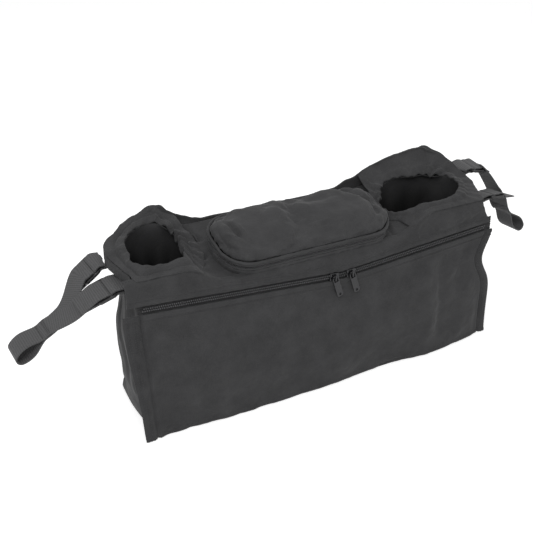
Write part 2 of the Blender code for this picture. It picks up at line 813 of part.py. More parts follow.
def make_slider(name, frame, scale, coil_radius, arch_angle, metal):
    """A channel over the coil, with an arch that holds the pull. Its origin runs along the coil."""
    half = SLIDER_WIDTH * scale / 2
    under = coil_radius + GAP
    top = under + SLIDER_PLATE
    lip = -coil_radius
    shoulder = top - SLIDER_BEVEL
    channel = [
        (-half, lip), (-half + SLIDER_LIP, lip), (-half + SLIDER_LIP, under), (half - SLIDER_LIP, under),
        (half - SLIDER_LIP, lip), (half, lip), (half, shoulder), (half - SLIDER_BEVEL, top),
        (-half + SLIDER_BEVEL, top), (-half, shoulder),
    ]
    on_edge = Matrix(((0, 0, 1), (1, 0, 0), (0, 1, 0))).to_4x4()
    body = plate(name, [channel], SLIDER_LENGTH * scale, frame, metal, turn=on_edge)
    axis_z = top + PULL_AXIS_HEIGHT
    low = axis_z + ARCH_CLEARANCE
    high = low + ARCH_THICK
    span = half * ARCH_SHARE
    leg = span - ARCH_THICK
    root = top - ARCH_SINK
    arch = [
        (-span, root), (-leg, root), (-leg, low), (leg, low), (leg, root), (span, root),
        (span, high - SLIDER_BEVEL), (span - SLIDER_BEVEL, high),
        (-span + SLIDER_BEVEL, high), (-span, high - SLIDER_BEVEL),
    ]
    turned = Matrix.Rotation(math.radians(arch_angle), 4, "Z") @ on_edge
    tool = bpy.data.objects.new(name + "_arch", plate_mesh(name + "_arch", [arch], ARCH_WIDTH, turned))
    CUTTERS.objects.link(tool)
    tool.matrix_world = frame
    attach(tool, body)
    cut(body, hide_cutter(tool), "UNION")
    return body, frame @ Vector((0.0, 0.0, axis_z))


def pull_outline(scale):
    """Pull with a wide eye at the hinge, which is at the origin, and a round hole near its tip."""
    half = PULL_WIDTH * scale / 2
    length = PULL_LENGTH * scale
    bar = PULL_BAR / 2
    head, tip = PULL_HEAD_RADIUS, PULL_TIP_RADIUS
    outer = []
    for centre_x, centre_y, start, radius in (
        (half - head, bar - head, 0, head), (-half + head, bar - head, 90, head),
        (-half + tip, -length + tip + PULL_TIP_TAPER, 180, tip),
        (half - tip, -length + tip + PULL_TIP_TAPER, 270, tip),
    ):
        for step in range(4):
            angle = math.radians(start + 30 * step)
            outer.append((centre_x + radius * math.cos(angle), centre_y + radius * math.sin(angle)))
    eye_half = half - PULL_SIDE
    eye_low = -bar - PULL_EYE * scale
    eye = [(-eye_half, -bar), (-eye_half, eye_low), (eye_half, eye_low), (eye_half, -bar)]
    hole = []
    for step in range(10):
        angle = -2 * math.pi * step / 10
        place = -length + PULL_HOLE_INSET + PULL_HOLE_RADIUS * math.sin(angle)
        hole.append((PULL_HOLE_RADIUS * math.cos(angle), place))
    return [outer, eye, hole]


def make_front_slider(side_name, x, slope, metal):
    frame = slider_frame(x, slope)
    body, axis = make_slider(f"front_slider_{side_name}", frame, 1.0, COIL_RADIUS, 0.0, metal)
    skew = Matrix.Rotation(math.radians(PULL_SKEW), 4, "Y")
    upright = Matrix.Translation(axis) @ skew.inverted() @ Matrix.Rotation(math.radians(90), 4, "X")
    attach(plate(f"front_pull_{side_name}", pull_outline(1.0), PULL_THICK, upright, metal), body)


def make_lid_slider(metal):
    """The lid's slider is parked at the zip's end behind the lid, facing back."""
    x = LID_HINGE_X - LID_HINGE_HALF - LID_X - LID_SLIDER_PARK
    centre = LID_FRAME @ Vector((x, LID_HALF_DEPTH, LID_COIL_LEVEL))
    turn = LID_FRAME.to_3x3()
    along = turn @ Vector((-1.0, 0.0, 0.0))
    out = turn @ Vector((0.0, 1.0, 0.0))
    up = out.cross(along)
    frame = Matrix.Translation(centre) @ Matrix((along, up, out)).transposed().to_4x4()
    body, axis = make_slider("lid_slider", frame, LID_SLIDER_SCALE, LID_COIL_RADIUS, 90.0, metal)
    along_zip = Matrix(((0, 1, 0), (1, 0, 0), (0, 0, -1))).to_4x4()
    hinge = Matrix.Translation(axis) @ frame.to_3x3().to_4x4() @ along_zip
    attach(plate("lid_pull", pull_outline(LID_SLIDER_SCALE), PULL_THICK, hinge, metal), body)


# Webbing, tabs and buckles


def smooth_path(points, steps):
    """Points on a smooth curve through the given ones, whose bends never overshoot."""
    ends = [2 * points[0] - points[1]] + points + [2 * points[-1] - points[-2]]
    path = []
    for before, start, end, after in zip(ends, ends[1:], ends[2:], ends[3:]):
        length = (end - start).length
        leave = (end - before).normalized() * length
        arrive = (after - start).normalized() * length
        for step in range(steps):
            t = step / steps
            blend = t * t * (3.0 - 2.0 * t)
            pull = leave * t * (1.0 - t) ** 2 - arrive * t * t * (1.0 - t)
            path.append(start.lerp(end, blend) + pull)
    return path + [points[-1]]


def ribbon(name, path, across, material, adjust=lambda point: point):
    """Flat webbing along a path; across is its width direction at each point."""
    count = len(path) - 1

    def place(u, v):
        n = round(u * count)
        before, after = path[max(0, n - 1)], path[min(count, n + 1)]
        ahead = (after - before).normalized()
        side = across[n] - ahead * across[n].dot(ahead)
        return adjust(path[n] + side.normalized() * WEB_WIDTH * (v - 0.5))

    return sheet(name, count, 2, place, WEB_THICK, material, offset=0.0)


def wrap_points(centre, ahead, normal, sign, count=5):
    """Half turn of webbing round a bar, from its upper to its lower side."""
    points = []
    for step in range(count + 1):
        angle = math.pi * step / count
        points.append(centre + sign * WRAP_RADIUS * math.sin(angle) * ahead + WRAP_RADIUS * math.cos(angle) * normal)
    return points


def buckle_loops():
    """Outline and two slots of a slide buckle; X is its width, Y runs away from the bag."""
    half = BUCKLE_WIDTH / 2
    length = 3 * BUCKLE_BAR + 2 * BUCKLE_SLOT
    outer = []
    radius = BUCKLE_CORNER
    for centre_x, centre_y, start in (
        (half - radius, length - radius, 0), (-half + radius, length - radius, 90),
        (-half + radius, radius, 180), (half - radius, radius, 270),
    ):
        for step in range(4):
            angle = math.radians(start + 30 * step)
            outer.append((centre_x + radius * math.cos(angle), centre_y + radius * math.sin(angle)))
    slot_half = WEB_WIDTH / 2 + 2 * GAP
    loops = [outer]
    for low in (BUCKLE_BAR, 2 * BUCKLE_BAR + BUCKLE_SLOT):
        high = low + BUCKLE_SLOT
        loops.append([(-slot_half, low), (-slot_half, high), (slot_half, high), (slot_half, low)])
    return loops


class Anchor:
    """One tab, its buckle and the places where the strap meets it."""

    def __init__(self, name, side, y, z, reach, tab_heading, heading, across):
        self.name = name
        self.side = side
        self.heading = Vector(heading).normalized()
        self.across = (Vector(across) - self.heading * self.heading.dot(Vector(across))).normalized()
        self.normal = self.across.cross(self.heading)
        if self.normal.z < 0:
            self.normal = -self.normal
        wall = Vector((end_x(side, y, z), y, z))
        self.wall = wall
        self.near = wall + Vector(tab_heading).normalized() * reach

    def at(self, along):
        return self.near + self.heading * along

    def make_buckle(self, plastic):
        frame = Matrix((self.across, self.heading, self.across.cross(self.heading))).transposed().to_4x4()
        plate(f"{self.name}_buckle", buckle_loops(), BUCKLE_THICK, Matrix.Translation(self.near) @ frame, plastic)

    def make_tab(self, webbing):
        centre = self.at(BUCKLE_BAR - WRAP_SEAT)
        turn = wrap_points(centre, self.heading, self.normal, 1)
        straight = self.heading * TAB_STRAIGHT
        path = [self.wall + self.normal * WRAP_RADIUS, turn[0] - straight] + turn
        path += [turn[-1] - straight, self.wall - self.normal * WRAP_RADIUS]
        outward = 1.0 if self.side == "right" else -1.0
        clear = 2 * GAP + 0.5 * WEB_THICK

        def keep_off_wall(point):
            reach = end_x(self.side, point.y, point.z) + outward * clear
            return Vector((max(outward * point.x, outward * reach) * outward, point.y, point.z))

        ribbon(f"{self.name}_tab", path, [self.across] * len(path), webbing, adjust=keep_off_wall)

    def strap_turn(self):
        centre = self.at(2 * BUCKLE_BAR + 2 * BUCKLE_SLOT + WRAP_SEAT)
        return wrap_points(centre, self.heading, self.normal, -1)


def make_strap(name, front, back, joint, tip, across, front_way, back_way, tails, webbing):
    """One strap: front tail, front buckle, joint, end loop, joint, back buckle, back tail."""
    ahead = (tip - joint).normalized()
    side = (across - ahead * ahead.dot(across)).normalized()
    normal = side.cross(ahead)
    if normal.z < 0:
        normal = -normal
    front_turn = front.strap_turn()
    back_turn = back.strap_turn()
    straight = [0.8 * BUCKLE_BAR, 1.8 * BUCKLE_BAR]
    upper = normal * LAYER_OFFSET
    stops = [(point, front.across) for point in tails[0]]
    stops += [(front_turn[-1] + front.heading * along, front.across) for along in reversed(straight)]
    stops += [(point, front.across) for point in reversed(front_turn)]
    stops += [(front_turn[0] + front.heading * along, front.across) for along in straight]
    stops += [(point, front.across.lerp(side, 0.5)) for point in front_way]
    stops += [(joint + upper, side), (joint + ahead * SEWN_LENGTH + upper, side)]
    reach = (tip - joint).length
    swell = [(0.62, LOOP_SWELL), (0.92, LOOP_TIP_SWELL), (1.0, 0.0)]
    stops += [(joint + ahead * reach * along + normal * half, side) for along, half in swell]
    stops += [(joint + ahead * reach * along - normal * half, side) for along, half in reversed(swell[:-1])]
    stops += [(joint + ahead * SEWN_LENGTH - upper, side), (joint - upper, side)]
    stops += [(point, back.across.lerp(side, 0.5)) for point in back_way]
    stops += [(back_turn[0] + back.heading * along, back.across) for along in reversed(straight)]
    stops += [(point, back.across) for point in back_turn]
    stops += [(back_turn[-1] + back.heading * along, back.across) for along in straight]
    stops += [(point, back.across) for point in tails[1]]
    path = smooth_path([stop[0] for stop in stops], 2)
    sides = []
    for before, after in zip(stops, stops[1:]):
        sides += [before[1], before[1].lerp(after[1], 0.5)]
    ribbon(name, path, sides + [stops[-1][1]], webbing)


def strap_place(side, place):
    """A point out from an end wall and down from the cups' top surface."""
    reach, y, drop = place
    outward = 1.0 if side == "right" else -1.0
    wall = end_x(side, y, CUP_DECK_Z - STRAP_WALL_DROP)
    return Vector((wall + outward * reach, y, CUP_DECK_Z - drop))


def make_straps(webbing, plastic):
    top = CUP_DECK_Z
    left_front = Anchor("left_front", "left", -0.020, top - 0.019, 0.009, (-1, 0, -0.05), (-0.95, 0, -0.30), (0, 1, 0.15))
    left_back = Anchor("left_back", "left", 0.013, top - 0.009, 0.009, (-1, 0, -0.10), (-0.80, 0, -0.60), (0, 1, 0.15))
    right_front = Anchor("right_front", "right", -0.018, top - 0.019, 0.012, (1, 0, 0.15), (1, 0, -0.10), (0, 0.95, -0.15))
    right_back = Anchor("right_back", "right", 0.016, top + 0.003, 0.014, (1, 0, 0.20), (1, 0, -0.15), (0, 1, 0.10))
    for anchor in (left_front, left_back, right_front, right_back):
        anchor.make_buckle(plastic)
        anchor.make_tab(webbing)

    length = 3 * BUCKLE_BAR + 2 * BUCKLE_SLOT

    def under(anchor, along):
        return anchor.at(length + along) - anchor.normal * WRAP_RADIUS

    make_strap(
        "left_strap", left_front, left_back,
        strap_place("left", LEFT_JOINT), strap_place("left", LEFT_TIP), Vector((0, 1, 0.05)),
        [strap_place("left", LEFT_FRONT_WAY)],
        [strap_place("left", LEFT_BACK_WAY)],
        ([under(left_front, LEFT_TAILS[0])], [under(left_back, LEFT_TAILS[1])]),
        webbing,
    )
    make_strap(
        "right_strap", right_front, right_back,
        strap_place("right", RIGHT_JOINT), strap_place("right", RIGHT_TIP), Vector((0, 1, -0.05)),
        [],
        [strap_place("right", RIGHT_BACK_WAY)],
        ([under(right_front, RIGHT_TAILS[0])], [under(right_back, RIGHT_TAILS[1])]),
        webbing,
    )


def main():
    cloth = make_material("polyester_cloth", FABRIC, 0.85)
    board = make_material("base_board", FABRIC, 0.85)
    lining = make_material("cup_lining", LINING, 0.7)
    tape = make_material("zip_tape", COIL_BLACK, 0.8)
    coil = make_material("zip_coil", COIL_BLACK, 0.45)
    webbing = make_material("webbing", WEBBING, 0.8)
    plastic = make_material("buckle_plastic", PLASTIC, 0.35)
    metal = make_material("black_metal", METAL, 0.3, 0.8)

    make_shell(cloth, board)
    make_dividers(cloth)
    make_deck(cloth)
    make_cup("left", CUP_LEFT_X, CUP_LEFT_HALF_LENGTH, lining, cloth)
    make_cup("right", CUP_RIGHT_X, CUP_RIGHT_HALF_LENGTH, lining, cloth)
    make_lid(cloth, tape, coil)
    make_pocket(cloth, tape, coil)
    make_front_slider("left", SLIDER_LEFT_X, -ZIP_SLOPE_LEFT, metal)
    make_front_slider("right", SLIDER_RIGHT_X, ZIP_SLOPE_RIGHT, metal)
    make_lid_slider(metal)
    make_straps(webbing, plastic)


main()
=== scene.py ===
import math

import bmesh
import bpy
import numpy as np
from mathutils import Matrix, Vector, noise


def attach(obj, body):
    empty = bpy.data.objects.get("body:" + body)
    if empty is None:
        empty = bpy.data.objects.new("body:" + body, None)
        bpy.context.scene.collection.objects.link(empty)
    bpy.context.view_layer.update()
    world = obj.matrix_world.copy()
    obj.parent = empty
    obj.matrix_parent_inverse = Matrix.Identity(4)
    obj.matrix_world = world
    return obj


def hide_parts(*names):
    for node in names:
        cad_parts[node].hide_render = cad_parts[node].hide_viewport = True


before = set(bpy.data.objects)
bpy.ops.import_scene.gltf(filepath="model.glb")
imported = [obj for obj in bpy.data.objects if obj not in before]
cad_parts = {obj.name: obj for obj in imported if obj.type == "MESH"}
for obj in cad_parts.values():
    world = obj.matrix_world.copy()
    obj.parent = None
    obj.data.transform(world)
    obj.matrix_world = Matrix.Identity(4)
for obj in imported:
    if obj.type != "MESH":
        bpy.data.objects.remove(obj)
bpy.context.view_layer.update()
print("frame loaded")

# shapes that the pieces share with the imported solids

bag = {
    "baseDepth": 0.1,
    "rimFrontY": -0.044,
    "rimBackY": 0.042,
    "rimFrontFlareLeft": 0.017,
    "rimFrontTuckRight": 0.01,
    "rimBackTuckLeft": 0.035,
    "rimBackTuckRight": 0.028,
    "cornerRadius": 0.007,
    "endBulgeLeft": 0.032,
    "endBulgeRight": 0.019,
    "frontSweep": 0.008,
    "sweepReach": 0.085,
    "sweepHeight": 0.11,
    "endX": 0.2,
    "arcShare": 0.12,
}

top = {
    "lidDeckZ": 0.161,
    "lidDeckSlope": 0.3,
    "cupDeckZ": 0.177,
    "cupDeckSlope": 0.2,
    "rimPlanZ": 0.168,
}

cloth = {
    "wall": 0.0016,
    "baseBoard": 0.003,
    "panel": 0.0012,
    "tape": 0.0008,
    "liner": 0.0015,
    "gap": 0.0003,
    "wallFootZ": 0.0036,
}

lid = {
    "leftX": -0.117,
    "rightX": 0.073,
    "x": -0.022,
    "halfLength": 0.095,
    "y": -0.009,
    "halfDepth": 0.0375,
    "corner": 0.029,
    "bandHeight": 0.0052,
    "tapeHeight": 0.0022,
    "coilRadius": 0.0009,
    "pipingRadius": 0.0012,
    "hingeHalf": 0.026,
    "hingeX": 0.01,
    "stepStart": 0.098,
    "stepEnd": 0.14,
    "dividerLeftX": -0.121,
    "dividerRightX": 0.0725,
}

wallNames = ("front", "right", "back", "left")


def smooth(low, high, value):
    t = min(1.0, max(0.0, (value - low) / (high - low)))
    return t * t * (3.0 - 2.0 * t)


def mix(a, b, t):
    return a + (b - a) * t


def deckZ(x, y):
    middle = top["lidDeckZ"] + top["lidDeckSlope"] * y
    ends = top["cupDeckZ"] + top["cupDeckSlope"] * y
    return mix(middle, ends, smooth(lid["stepStart"], lid["stepEnd"], abs(x - lid["x"])))


# how far the back edge stands above the top panel, by place along the bag
rimStand = {
    "left": [(-0.212, -0.002), (-0.203, 0.0), (-0.1915, 0.007), (-0.179, 0.011), (-0.165, 0.014), (-0.155, 0.0145),
             (-0.145, 0.010), (-0.135, 0.0085), (-0.125, 0.0075), (-0.115, 0.0043), (-0.105, 0.002)],
    "right": [(0.035, 0.002), (0.05, 0.0041), (0.07, 0.011), (0.09, 0.0150), (0.11, 0.0135), (0.13, 0.0165),
        (0.15, 0.019), (0.172, 0.0205)],
}


def tableValue(table, value):
    for (x0, y0), (x1, y1) in zip(table, table[1:]):
        if value < x1:
            return mix(y0, y1, smooth(x0, x1, value))
    return table[-1][1]


def rimZ(x, y):
    stand = tableValue(rimStand["left" if x < lid["x"] else "right"], x)
    return deckZ(x, y) + stand * smooth(0.0, bag["rimBackY"], y)


def settle(x, y, z):
    front = smooth(0.0, bag["rimFrontY"], y)
    low = smooth(bag["sweepHeight"], 0.0, z)
    return Vector((x, y + bag["frontSweep"] * smooth(bag["endX"] - bag["sweepReach"], bag["endX"], x) * front * low, z))


def frontY(x, z):
    return settle(x, mix(-bag["baseDepth"] / 2, bag["rimFrontY"], wallShare(z)), z).y


def corner(index, t):
    deep = bag["baseDepth"] / 2
    base = [(-bag["endX"], -deep), (bag["endX"], -deep), (bag["endX"], deep), (-bag["endX"], deep)]
    rim = [
        (-bag["endX"] - bag["rimFrontFlareLeft"], bag["rimFrontY"]),
        (bag["endX"] - bag["rimFrontTuckRight"], bag["rimFrontY"]),
        (bag["endX"] - bag["rimBackTuckRight"], bag["rimBackY"]),
        (-bag["endX"] + bag["rimBackTuckLeft"], bag["rimBackY"]),
    ]
    return Vector(base[index % 4]).lerp(Vector(rim[index % 4]), t)


def fillet(index, t, share):
    point = corner(index, t)
    entering = (point - corner(index - 1, t)).normalized()
    leaving = (corner(index + 1, t) - point).normalized()
    turn = entering.angle(leaving)
    reach = bag["cornerRadius"] * math.tan(turn / 2)
    inward = Vector((-entering.y, entering.x))
    centre = point - entering * reach + inward * bag["cornerRadius"]
    angle = math.atan2(-inward.y, -inward.x) + turn * share
    return centre + bag["cornerRadius"] * Vector((math.cos(angle), math.sin(angle)))


# the left end hangs straight below a rim that flares in its last centimetre, by height share
leftHang = [(0.0, 0.10), (0.10, 0.28), (0.28, 0.44), (0.59, 0.58), (0.86, 0.50), (0.93, 0.62), (1.0, 1.0)]


def sideXy(side, u, t, packed=False):
    first = wallNames.index(side)
    if u < bag["arcShare"]:
        return fillet(first, t, 0.5 + 0.5 * u / bag["arcShare"])
    if u > 1.0 - bag["arcShare"]:
        return fillet(first + 1, t, 0.5 * (u - 1.0 + bag["arcShare"]) / bag["arcShare"])
    start = fillet(first, t, 1.0)
    end = fillet(first + 1, t, 0.0)
    run = (u - bag["arcShare"]) / (1.0 - 2.0 * bag["arcShare"])
    outward = Vector((end.y - start.y, start.x - end.x)).normalized()
    bulge = {"right": bag["endBulgeRight"], "left": bag["endBulgeLeft"]}.get(side, 0.0)
    bulge *= t if packed or side != "left" else tableValue(leftHang, t)
    return start.lerp(end, run) + outward * bulge * math.sin(math.pi * run)


def wallShare(z):
    return (z - cloth["wallFootZ"]) / (top["rimPlanZ"] - cloth["wallFootZ"])


def wallPoint(side, u, v):
    rim = sideXy(side, u, 1.0)
    z = mix(cloth["wallFootZ"], rimZ(rim.x, rim.y), v)
    flat = sideXy(side, u, wallShare(z))
    return settle(flat.x, flat.y, z)


def endTable(side, share, packed=False):
    return [sideXy(side, n / 80, share, packed) for n in range(81)]


def tableX(table, y):
    for before, after in zip(table, table[1:]):
        if min(before.y, after.y) <= y <= max(before.y, after.y) and before.y != after.y:
            return mix(before.x, after.x, (y - before.y) / (after.y - before.y))
    return min(table, key=lambda p: abs(p.y - y)).x


def endX(side, y, z, packed=False):
    return tableX(endTable(side, wallShare(z), packed), y)


# tools for the pieces


def deselectAll():
    if bpy.context.object and bpy.context.object.mode != "OBJECT":
        bpy.ops.object.mode_set(mode="OBJECT")
    bpy.ops.object.select_all(action="DESELECT")


def pickOnly(piece):
    deselectAll()
    piece.select_set(True)
    bpy.context.view_layer.objects.active = piece


def applyModifier(piece, kind, **settings):
    pickOnly(piece)
    modifier = piece.modifiers.new(kind.title(), kind)
    for key, value in settings.items():
        setattr(modifier, key, value)
    bpy.ops.object.modifier_apply(modifier=modifier.name)


def shadeSmooth(piece):
    pickOnly(piece)
    bpy.ops.object.shade_smooth()


def ridge(value, middle, half, height):
    return height * math.exp(-(((value - middle) / half) ** 2))


def crease(x, z, start, end, half, height):  # a fold along a line, fading at both ends
    ax, az = start
    dx, dz = end[0] - ax, end[1] - az
    run = ((x - ax) * dx + (z - az) * dz) / (dx * dx + dz * dz)
    fade = smooth(-0.15, 0.25, run) * smooth(1.15, 0.75, run)
    if fade <= 0.0:
        return 0.0
    away = abs((x - ax) * dz - (z - az) * dx) / math.hypot(dx, dz)
    return height * fade * math.exp(-((away / half) ** 2))


def rumple(point, size, height, seed=0.0):  # soft uneven cloth, size in metres
    place = Vector(point) / size + Vector((seed, 1.7 * seed, 0.3 * seed))
    return height * noise.fractal(place, 0.9, 2.0, 3)


def gridPiece(name, columns, rows, place, relief=None, flip=False, size=(1.0, 1.0)):
    deselectAll()
    bpy.ops.mesh.primitive_grid_add(x_subdivisions=columns, y_subdivisions=rows, size=1.0)
    piece = bpy.context.object
    piece.name = piece.data.name = name
    bm = bmesh.new()
    bm.from_mesh(piece.data)
    uv = bm.loops.layers.uv.active
    for face in bm.faces:
        for loop in face.loops:
            loop[uv].uv = ((loop.vert.co.x + 0.5) * size[0], (loop.vert.co.y + 0.5) * size[1])
    uLayer = bm.verts.layers.float.new("alongU")
    vLayer = bm.verts.layers.float.new("alongV")
    for vert in bm.verts:
        vert[uLayer], vert[vLayer] = vert.co.x + 0.5, vert.co.y + 0.5
        vert.co = Vector(place(vert[uLayer], vert[vLayer]))
    bmesh.ops.remove_doubles(bm, verts=bm.verts, dist=1e-6)
    if flip:
        bmesh.ops.reverse_faces(bm, faces=bm.faces)
    if relief:
        bm.normal_update()
        moves = [vert.normal * relief(vert[uLayer], vert[vLayer], vert.co) for vert in bm.verts]
        for vert, move in zip(bm.verts, moves):
            vert.co += move
    bm.to_mesh(piece.data)
    bm.free()
    return piece


def dressPiece(piece, material, nodes, body="bag"):
    piece.data.materials.clear()
    piece.data.materials.append(material)
    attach(piece, body)
    if nodes:
        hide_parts(*nodes)
    return piece


def clothPiece(name, columns, rows, place, look, nodes, relief=None, flip=False, offset=-1.0):
    piece = gridPiece(name, columns, rows, place, relief, flip, look["flat"])
    applyModifier(piece, "SOLIDIFY", thickness=look["thickness"], offset=offset)
    shadeSmooth(piece)
    dressPiece(piece, look["material"], nodes)
    return piece


def closedPiece(name, columns, rows, place, material, nodes, relief=None, flip=False, size=(1.0, 1.0)):
    piece = gridPiece(name, columns, rows, place, relief, flip, size)
    shadeSmooth(piece)
    return dressPiece(piece, material, nodes)


def copyAlong(name, template, places, material, body="bag"):
    # many copies of one small form in one mesh, each placed by a matrix
    points = np.array([v.co for v in template.data.vertices])
    faces = [list(p.vertices) for p in template.data.polygons]
    allPoints, allFaces = [], []
    for number, place in enumerate(places):
        turn = np.array(place)
        allPoints.append(points @ turn[:3, :3].T + turn[:3, 3])
        allFaces += [[v + number * len(points) for v in face] for face in faces]
    mesh = bpy.data.meshes.new(name)
    mesh.from_pydata(np.concatenate(allPoints).tolist(), [], allFaces)
    mesh.shade_smooth()
    piece = bpy.data.objects.new(name, mesh)
    bpy.context.scene.collection.objects.link(piece)
    bpy.data.objects.remove(template, do_unlink=True)
    return dressPiece(piece, material, (), body)


def roundedBar(segments, rings, halfSizes):  # one stitch or zip tooth, modelled once
    deselectAll()
    bpy.ops.mesh.primitive_uv_sphere_add(segments=segments, ring_count=rings, radius=1.0)
    form = bpy.context.object
    bpy.ops.object.mode_set(mode="EDIT")
    bpy.ops.mesh.select_all(action="SELECT")
    bpy.ops.transform.resize(value=halfSizes)
    bpy.ops.object.mode_set(mode="OBJECT")
    return form


def placeAxes(place, x, y, z):
    return Matrix.Translation(place) @ Matrix((x, y, z)).transposed().to_4x4()


def frameOn(place, ahead, out):
    ahead = ahead.normalized()
    side = out.cross(ahead).normalized()
    return placeAxes(place, ahead, side, ahead.cross(side))


def stitchLine(points, normals, pitch):  # evenly spaced frames along a polyline
    places, carry = [], pitch / 2
    for start, end, out in zip(points, points[1:], normals):
        length = (end - start).length
        while carry < length:
            places.append(frameOn(start.lerp(end, carry / length), end - start, out))
            carry += pitch
        carry -= length
    return places


# materials: sRGB colours, and patterns sized in millimetres


def linear(code):
    parts = [int(code[n:n + 2], 16) / 255 for n in (1, 3, 5)]
    return tuple(p / 12.92 if p <= 0.04045 else ((p + 0.055) / 1.055) ** 2.4 for p in parts) + (1.0,)


def addNode(tree, kind, settings=None, links=None):
    node = tree.nodes.new("ShaderNode" + kind)
    for key, value in (settings or {}).items():
        if isinstance(key, str) and hasattr(node, key):
            setattr(node, key, value)
        else:
            node.inputs[key].default_value = value
    for key, source in (links or {}).items():
        tree.links.new(source, node.inputs[key])
    return node


def startMaterial(name, settings):
    material = bpy.data.materials.new(name)
    material.use_nodes = True
    tree = material.node_tree
    shader = tree.nodes["Principled BSDF"]
    for key, value in settings.items():
        shader.inputs[key].default_value = value
    return material, tree, shader


def bands(pitch):  # scale of a Wave texture for one band every pitch, in metres
    return 2 * math.pi / 20 / pitch


def toneRamp(tree, source, dark, light, low, high):
    ramp = addNode(tree, "ValToRGB", None, {"Fac": source})
    for element, place, code in zip(ramp.color_ramp.elements, (low, high), (dark, light)):
        element.position, element.color = place, linear(code)
    return ramp.outputs["Color"]


def wovenCloth(name, light, dark, pitch, depth, roughness, sheen, creaseDepth=0.0006, shadeFromZ=None, shadeToZ=None):
    material, tree, shader = startMaterial(name, {
        "Roughness": roughness, "Sheen Weight": sheen, "Sheen Roughness": 0.45, "IOR": 1.5, "Specular IOR Level": 0.35})
    coord = addNode(tree, "TexCoord").outputs["Object"]
    blot = addNode(tree, "TexNoise", {"Scale": 48.0, "Detail": 3.0, "Roughness": 0.6}, {"Vector": coord})
    fuzz = addNode(tree, "TexNoise", {"Scale": 1100.0, "Detail": 2.0}, {"Vector": coord})
    tone = addNode(tree, "Mix", {"data_type": "FLOAT", 0: 0.45}, {2: blot.outputs["Fac"], 3: fuzz.outputs["Fac"]})
    colour = toneRamp(tree, tone.outputs[0], dark, light, 0.36, 0.64)
    if shadeFromZ:  # painted shade: darker towards the floor of the cup, standing in for the shade deep inside it
        height = addNode(tree, "SeparateXYZ", None, {0: coord}).outputs["Z"]
        fade = {"From Min": shadeToZ, "From Max": shadeFromZ, "To Min": 0.04, "interpolation_type": "SMOOTHSTEP"}
        shade = addNode(tree, "MapRange", fade, {"Value": height})
        colour = addNode(tree, "VectorMath", {"operation": "MULTIPLY"}, {0: colour, 1: shade.outputs[0]}).outputs[0]
    tree.links.new(colour, shader.inputs["Base Color"])
    threads = []
    for axis in "XYZ":
        wave = {"bands_direction": axis, "Scale": bands(pitch), "Distortion": 0.6, "Detail": 1.0}
        threads.append(addNode(tree, "TexWave", wave, {"Vector": coord}).outputs["Fac"])
    weft = addNode(tree, "Math", {"operation": "MULTIPLY"}, {0: threads[1], 1: threads[2]})
    weave = addNode(tree, "Math", {"operation": "ADD"}, {0: threads[0], 1: weft.outputs[0]})
    folds = {"Scale": 85.0, "Detail": 4.0, "Roughness": 0.55, "Distortion": 0.8}
    crumple = addNode(tree, "TexNoise", folds, {"Vector": coord})
    soft = addNode(tree, "Bump", {"Strength": 0.6, "Distance": creaseDepth}, {"Height": crumple.outputs["Fac"]})
    under = {"Height": weave.outputs[0], "Normal": soft.outputs["Normal"]}
    fine = addNode(tree, "Bump", {"Strength": 0.6, "Distance": depth}, under)
    tree.links.new(fine.outputs["Normal"], shader.inputs["Normal"])
    return material


def ribbedWebbing(name, light, dark, pitch, depth):
    finish = {"Roughness": 0.78, "Sheen Weight": 0.08, "Sheen Roughness": 0.4, "IOR": 1.5}
    material, tree, shader = startMaterial(name, finish)
    coord = addNode(tree, "TexCoord").outputs["UV"]
    wave = {"bands_direction": "X", "Scale": bands(pitch), "Distortion": 0.5, "Detail": 1.0, "Detail Scale": 2.0}
    rib = addNode(tree, "TexWave", wave, {"Vector": coord})
    cord = addNode(tree, "TexWave", {"bands_direction": "Y", "Scale": bands(pitch * 1.3)}, {"Vector": coord})
    fuzz = addNode(tree, "TexNoise", {"Scale": 700.0, "Detail": 2.0}, {"Vector": coord})
    ribs = rib.outputs["Fac"]
    # painted shade: the colour follows the rib wave, light on the rib crests and dark in the grooves between them
    tone = addNode(tree, "Math", {"operation": "MULTIPLY_ADD", 1: 0.55}, {0: ribs, 2: fuzz.outputs["Fac"]})
    tree.links.new(toneRamp(tree, tone.outputs[0], dark, light, 0.30, 0.95), shader.inputs["Base Color"])
    both = addNode(tree, "Math", {"operation": "MULTIPLY_ADD", 1: 0.35}, {0: cord.outputs["Fac"], 2: ribs})
    bump = addNode(tree, "Bump", {"Strength": 0.8, "Distance": depth}, {"Height": both.outputs[0]})
    tree.links.new(bump.outputs["Normal"], shader.inputs["Normal"])
    return material


def mouldedPlastic(name, light, dark, grain, roughness, settings=None):
    material, tree, shader = startMaterial(name, {"Roughness": roughness, "IOR": 1.5, **(settings or {})})
    coord = addNode(tree, "TexCoord").outputs["Object"]
    speck = addNode(tree, "TexNoise", {"Scale": 1.0 / grain, "Detail": 3.0}, {"Vector": coord})
    tree.links.new(toneRamp(tree, speck.outputs["Fac"], dark, light, 0.35, 0.65), shader.inputs["Base Color"])
    bump = addNode(tree, "Bump", {"Strength": 0.4, "Distance": 0.00008}, {"Height": speck.outputs["Fac"]})
    tree.links.new(bump.outputs["Normal"], shader.inputs["Normal"])
    return material


# Polyester oxford cloth, plain weave, dull with a faint sheen. Threads lie 0.6 mm apart and are drawn at 1.3 mm.
oxfordCloth = wovenCloth("polyester_oxford_cloth", "#3a3a3b", "#2b2b2c", 0.0013, 0.00016, 0.84, 0.06)
# The lid's facing is the same cloth over foam, drawn a little lighter all over: painted light for the lid's upturned
# top.
lidCloth = wovenCloth("foam_backed_oxford_cloth", "#3b3b3c", "#303031", 0.0013, 0.00016, 0.84, 0.07, 0.0004)
# Nylon taffeta lining, smooth and darker, with painted shade that deepens towards the floor of the cup.
taffeta = wovenCloth(
    "nylon_taffeta_lining", "#2b2b2c", "#1c1c1d", 0.0010, 0.00006, 0.66, 0.0, shadeFromZ=0.190, shadeToZ=0.148)
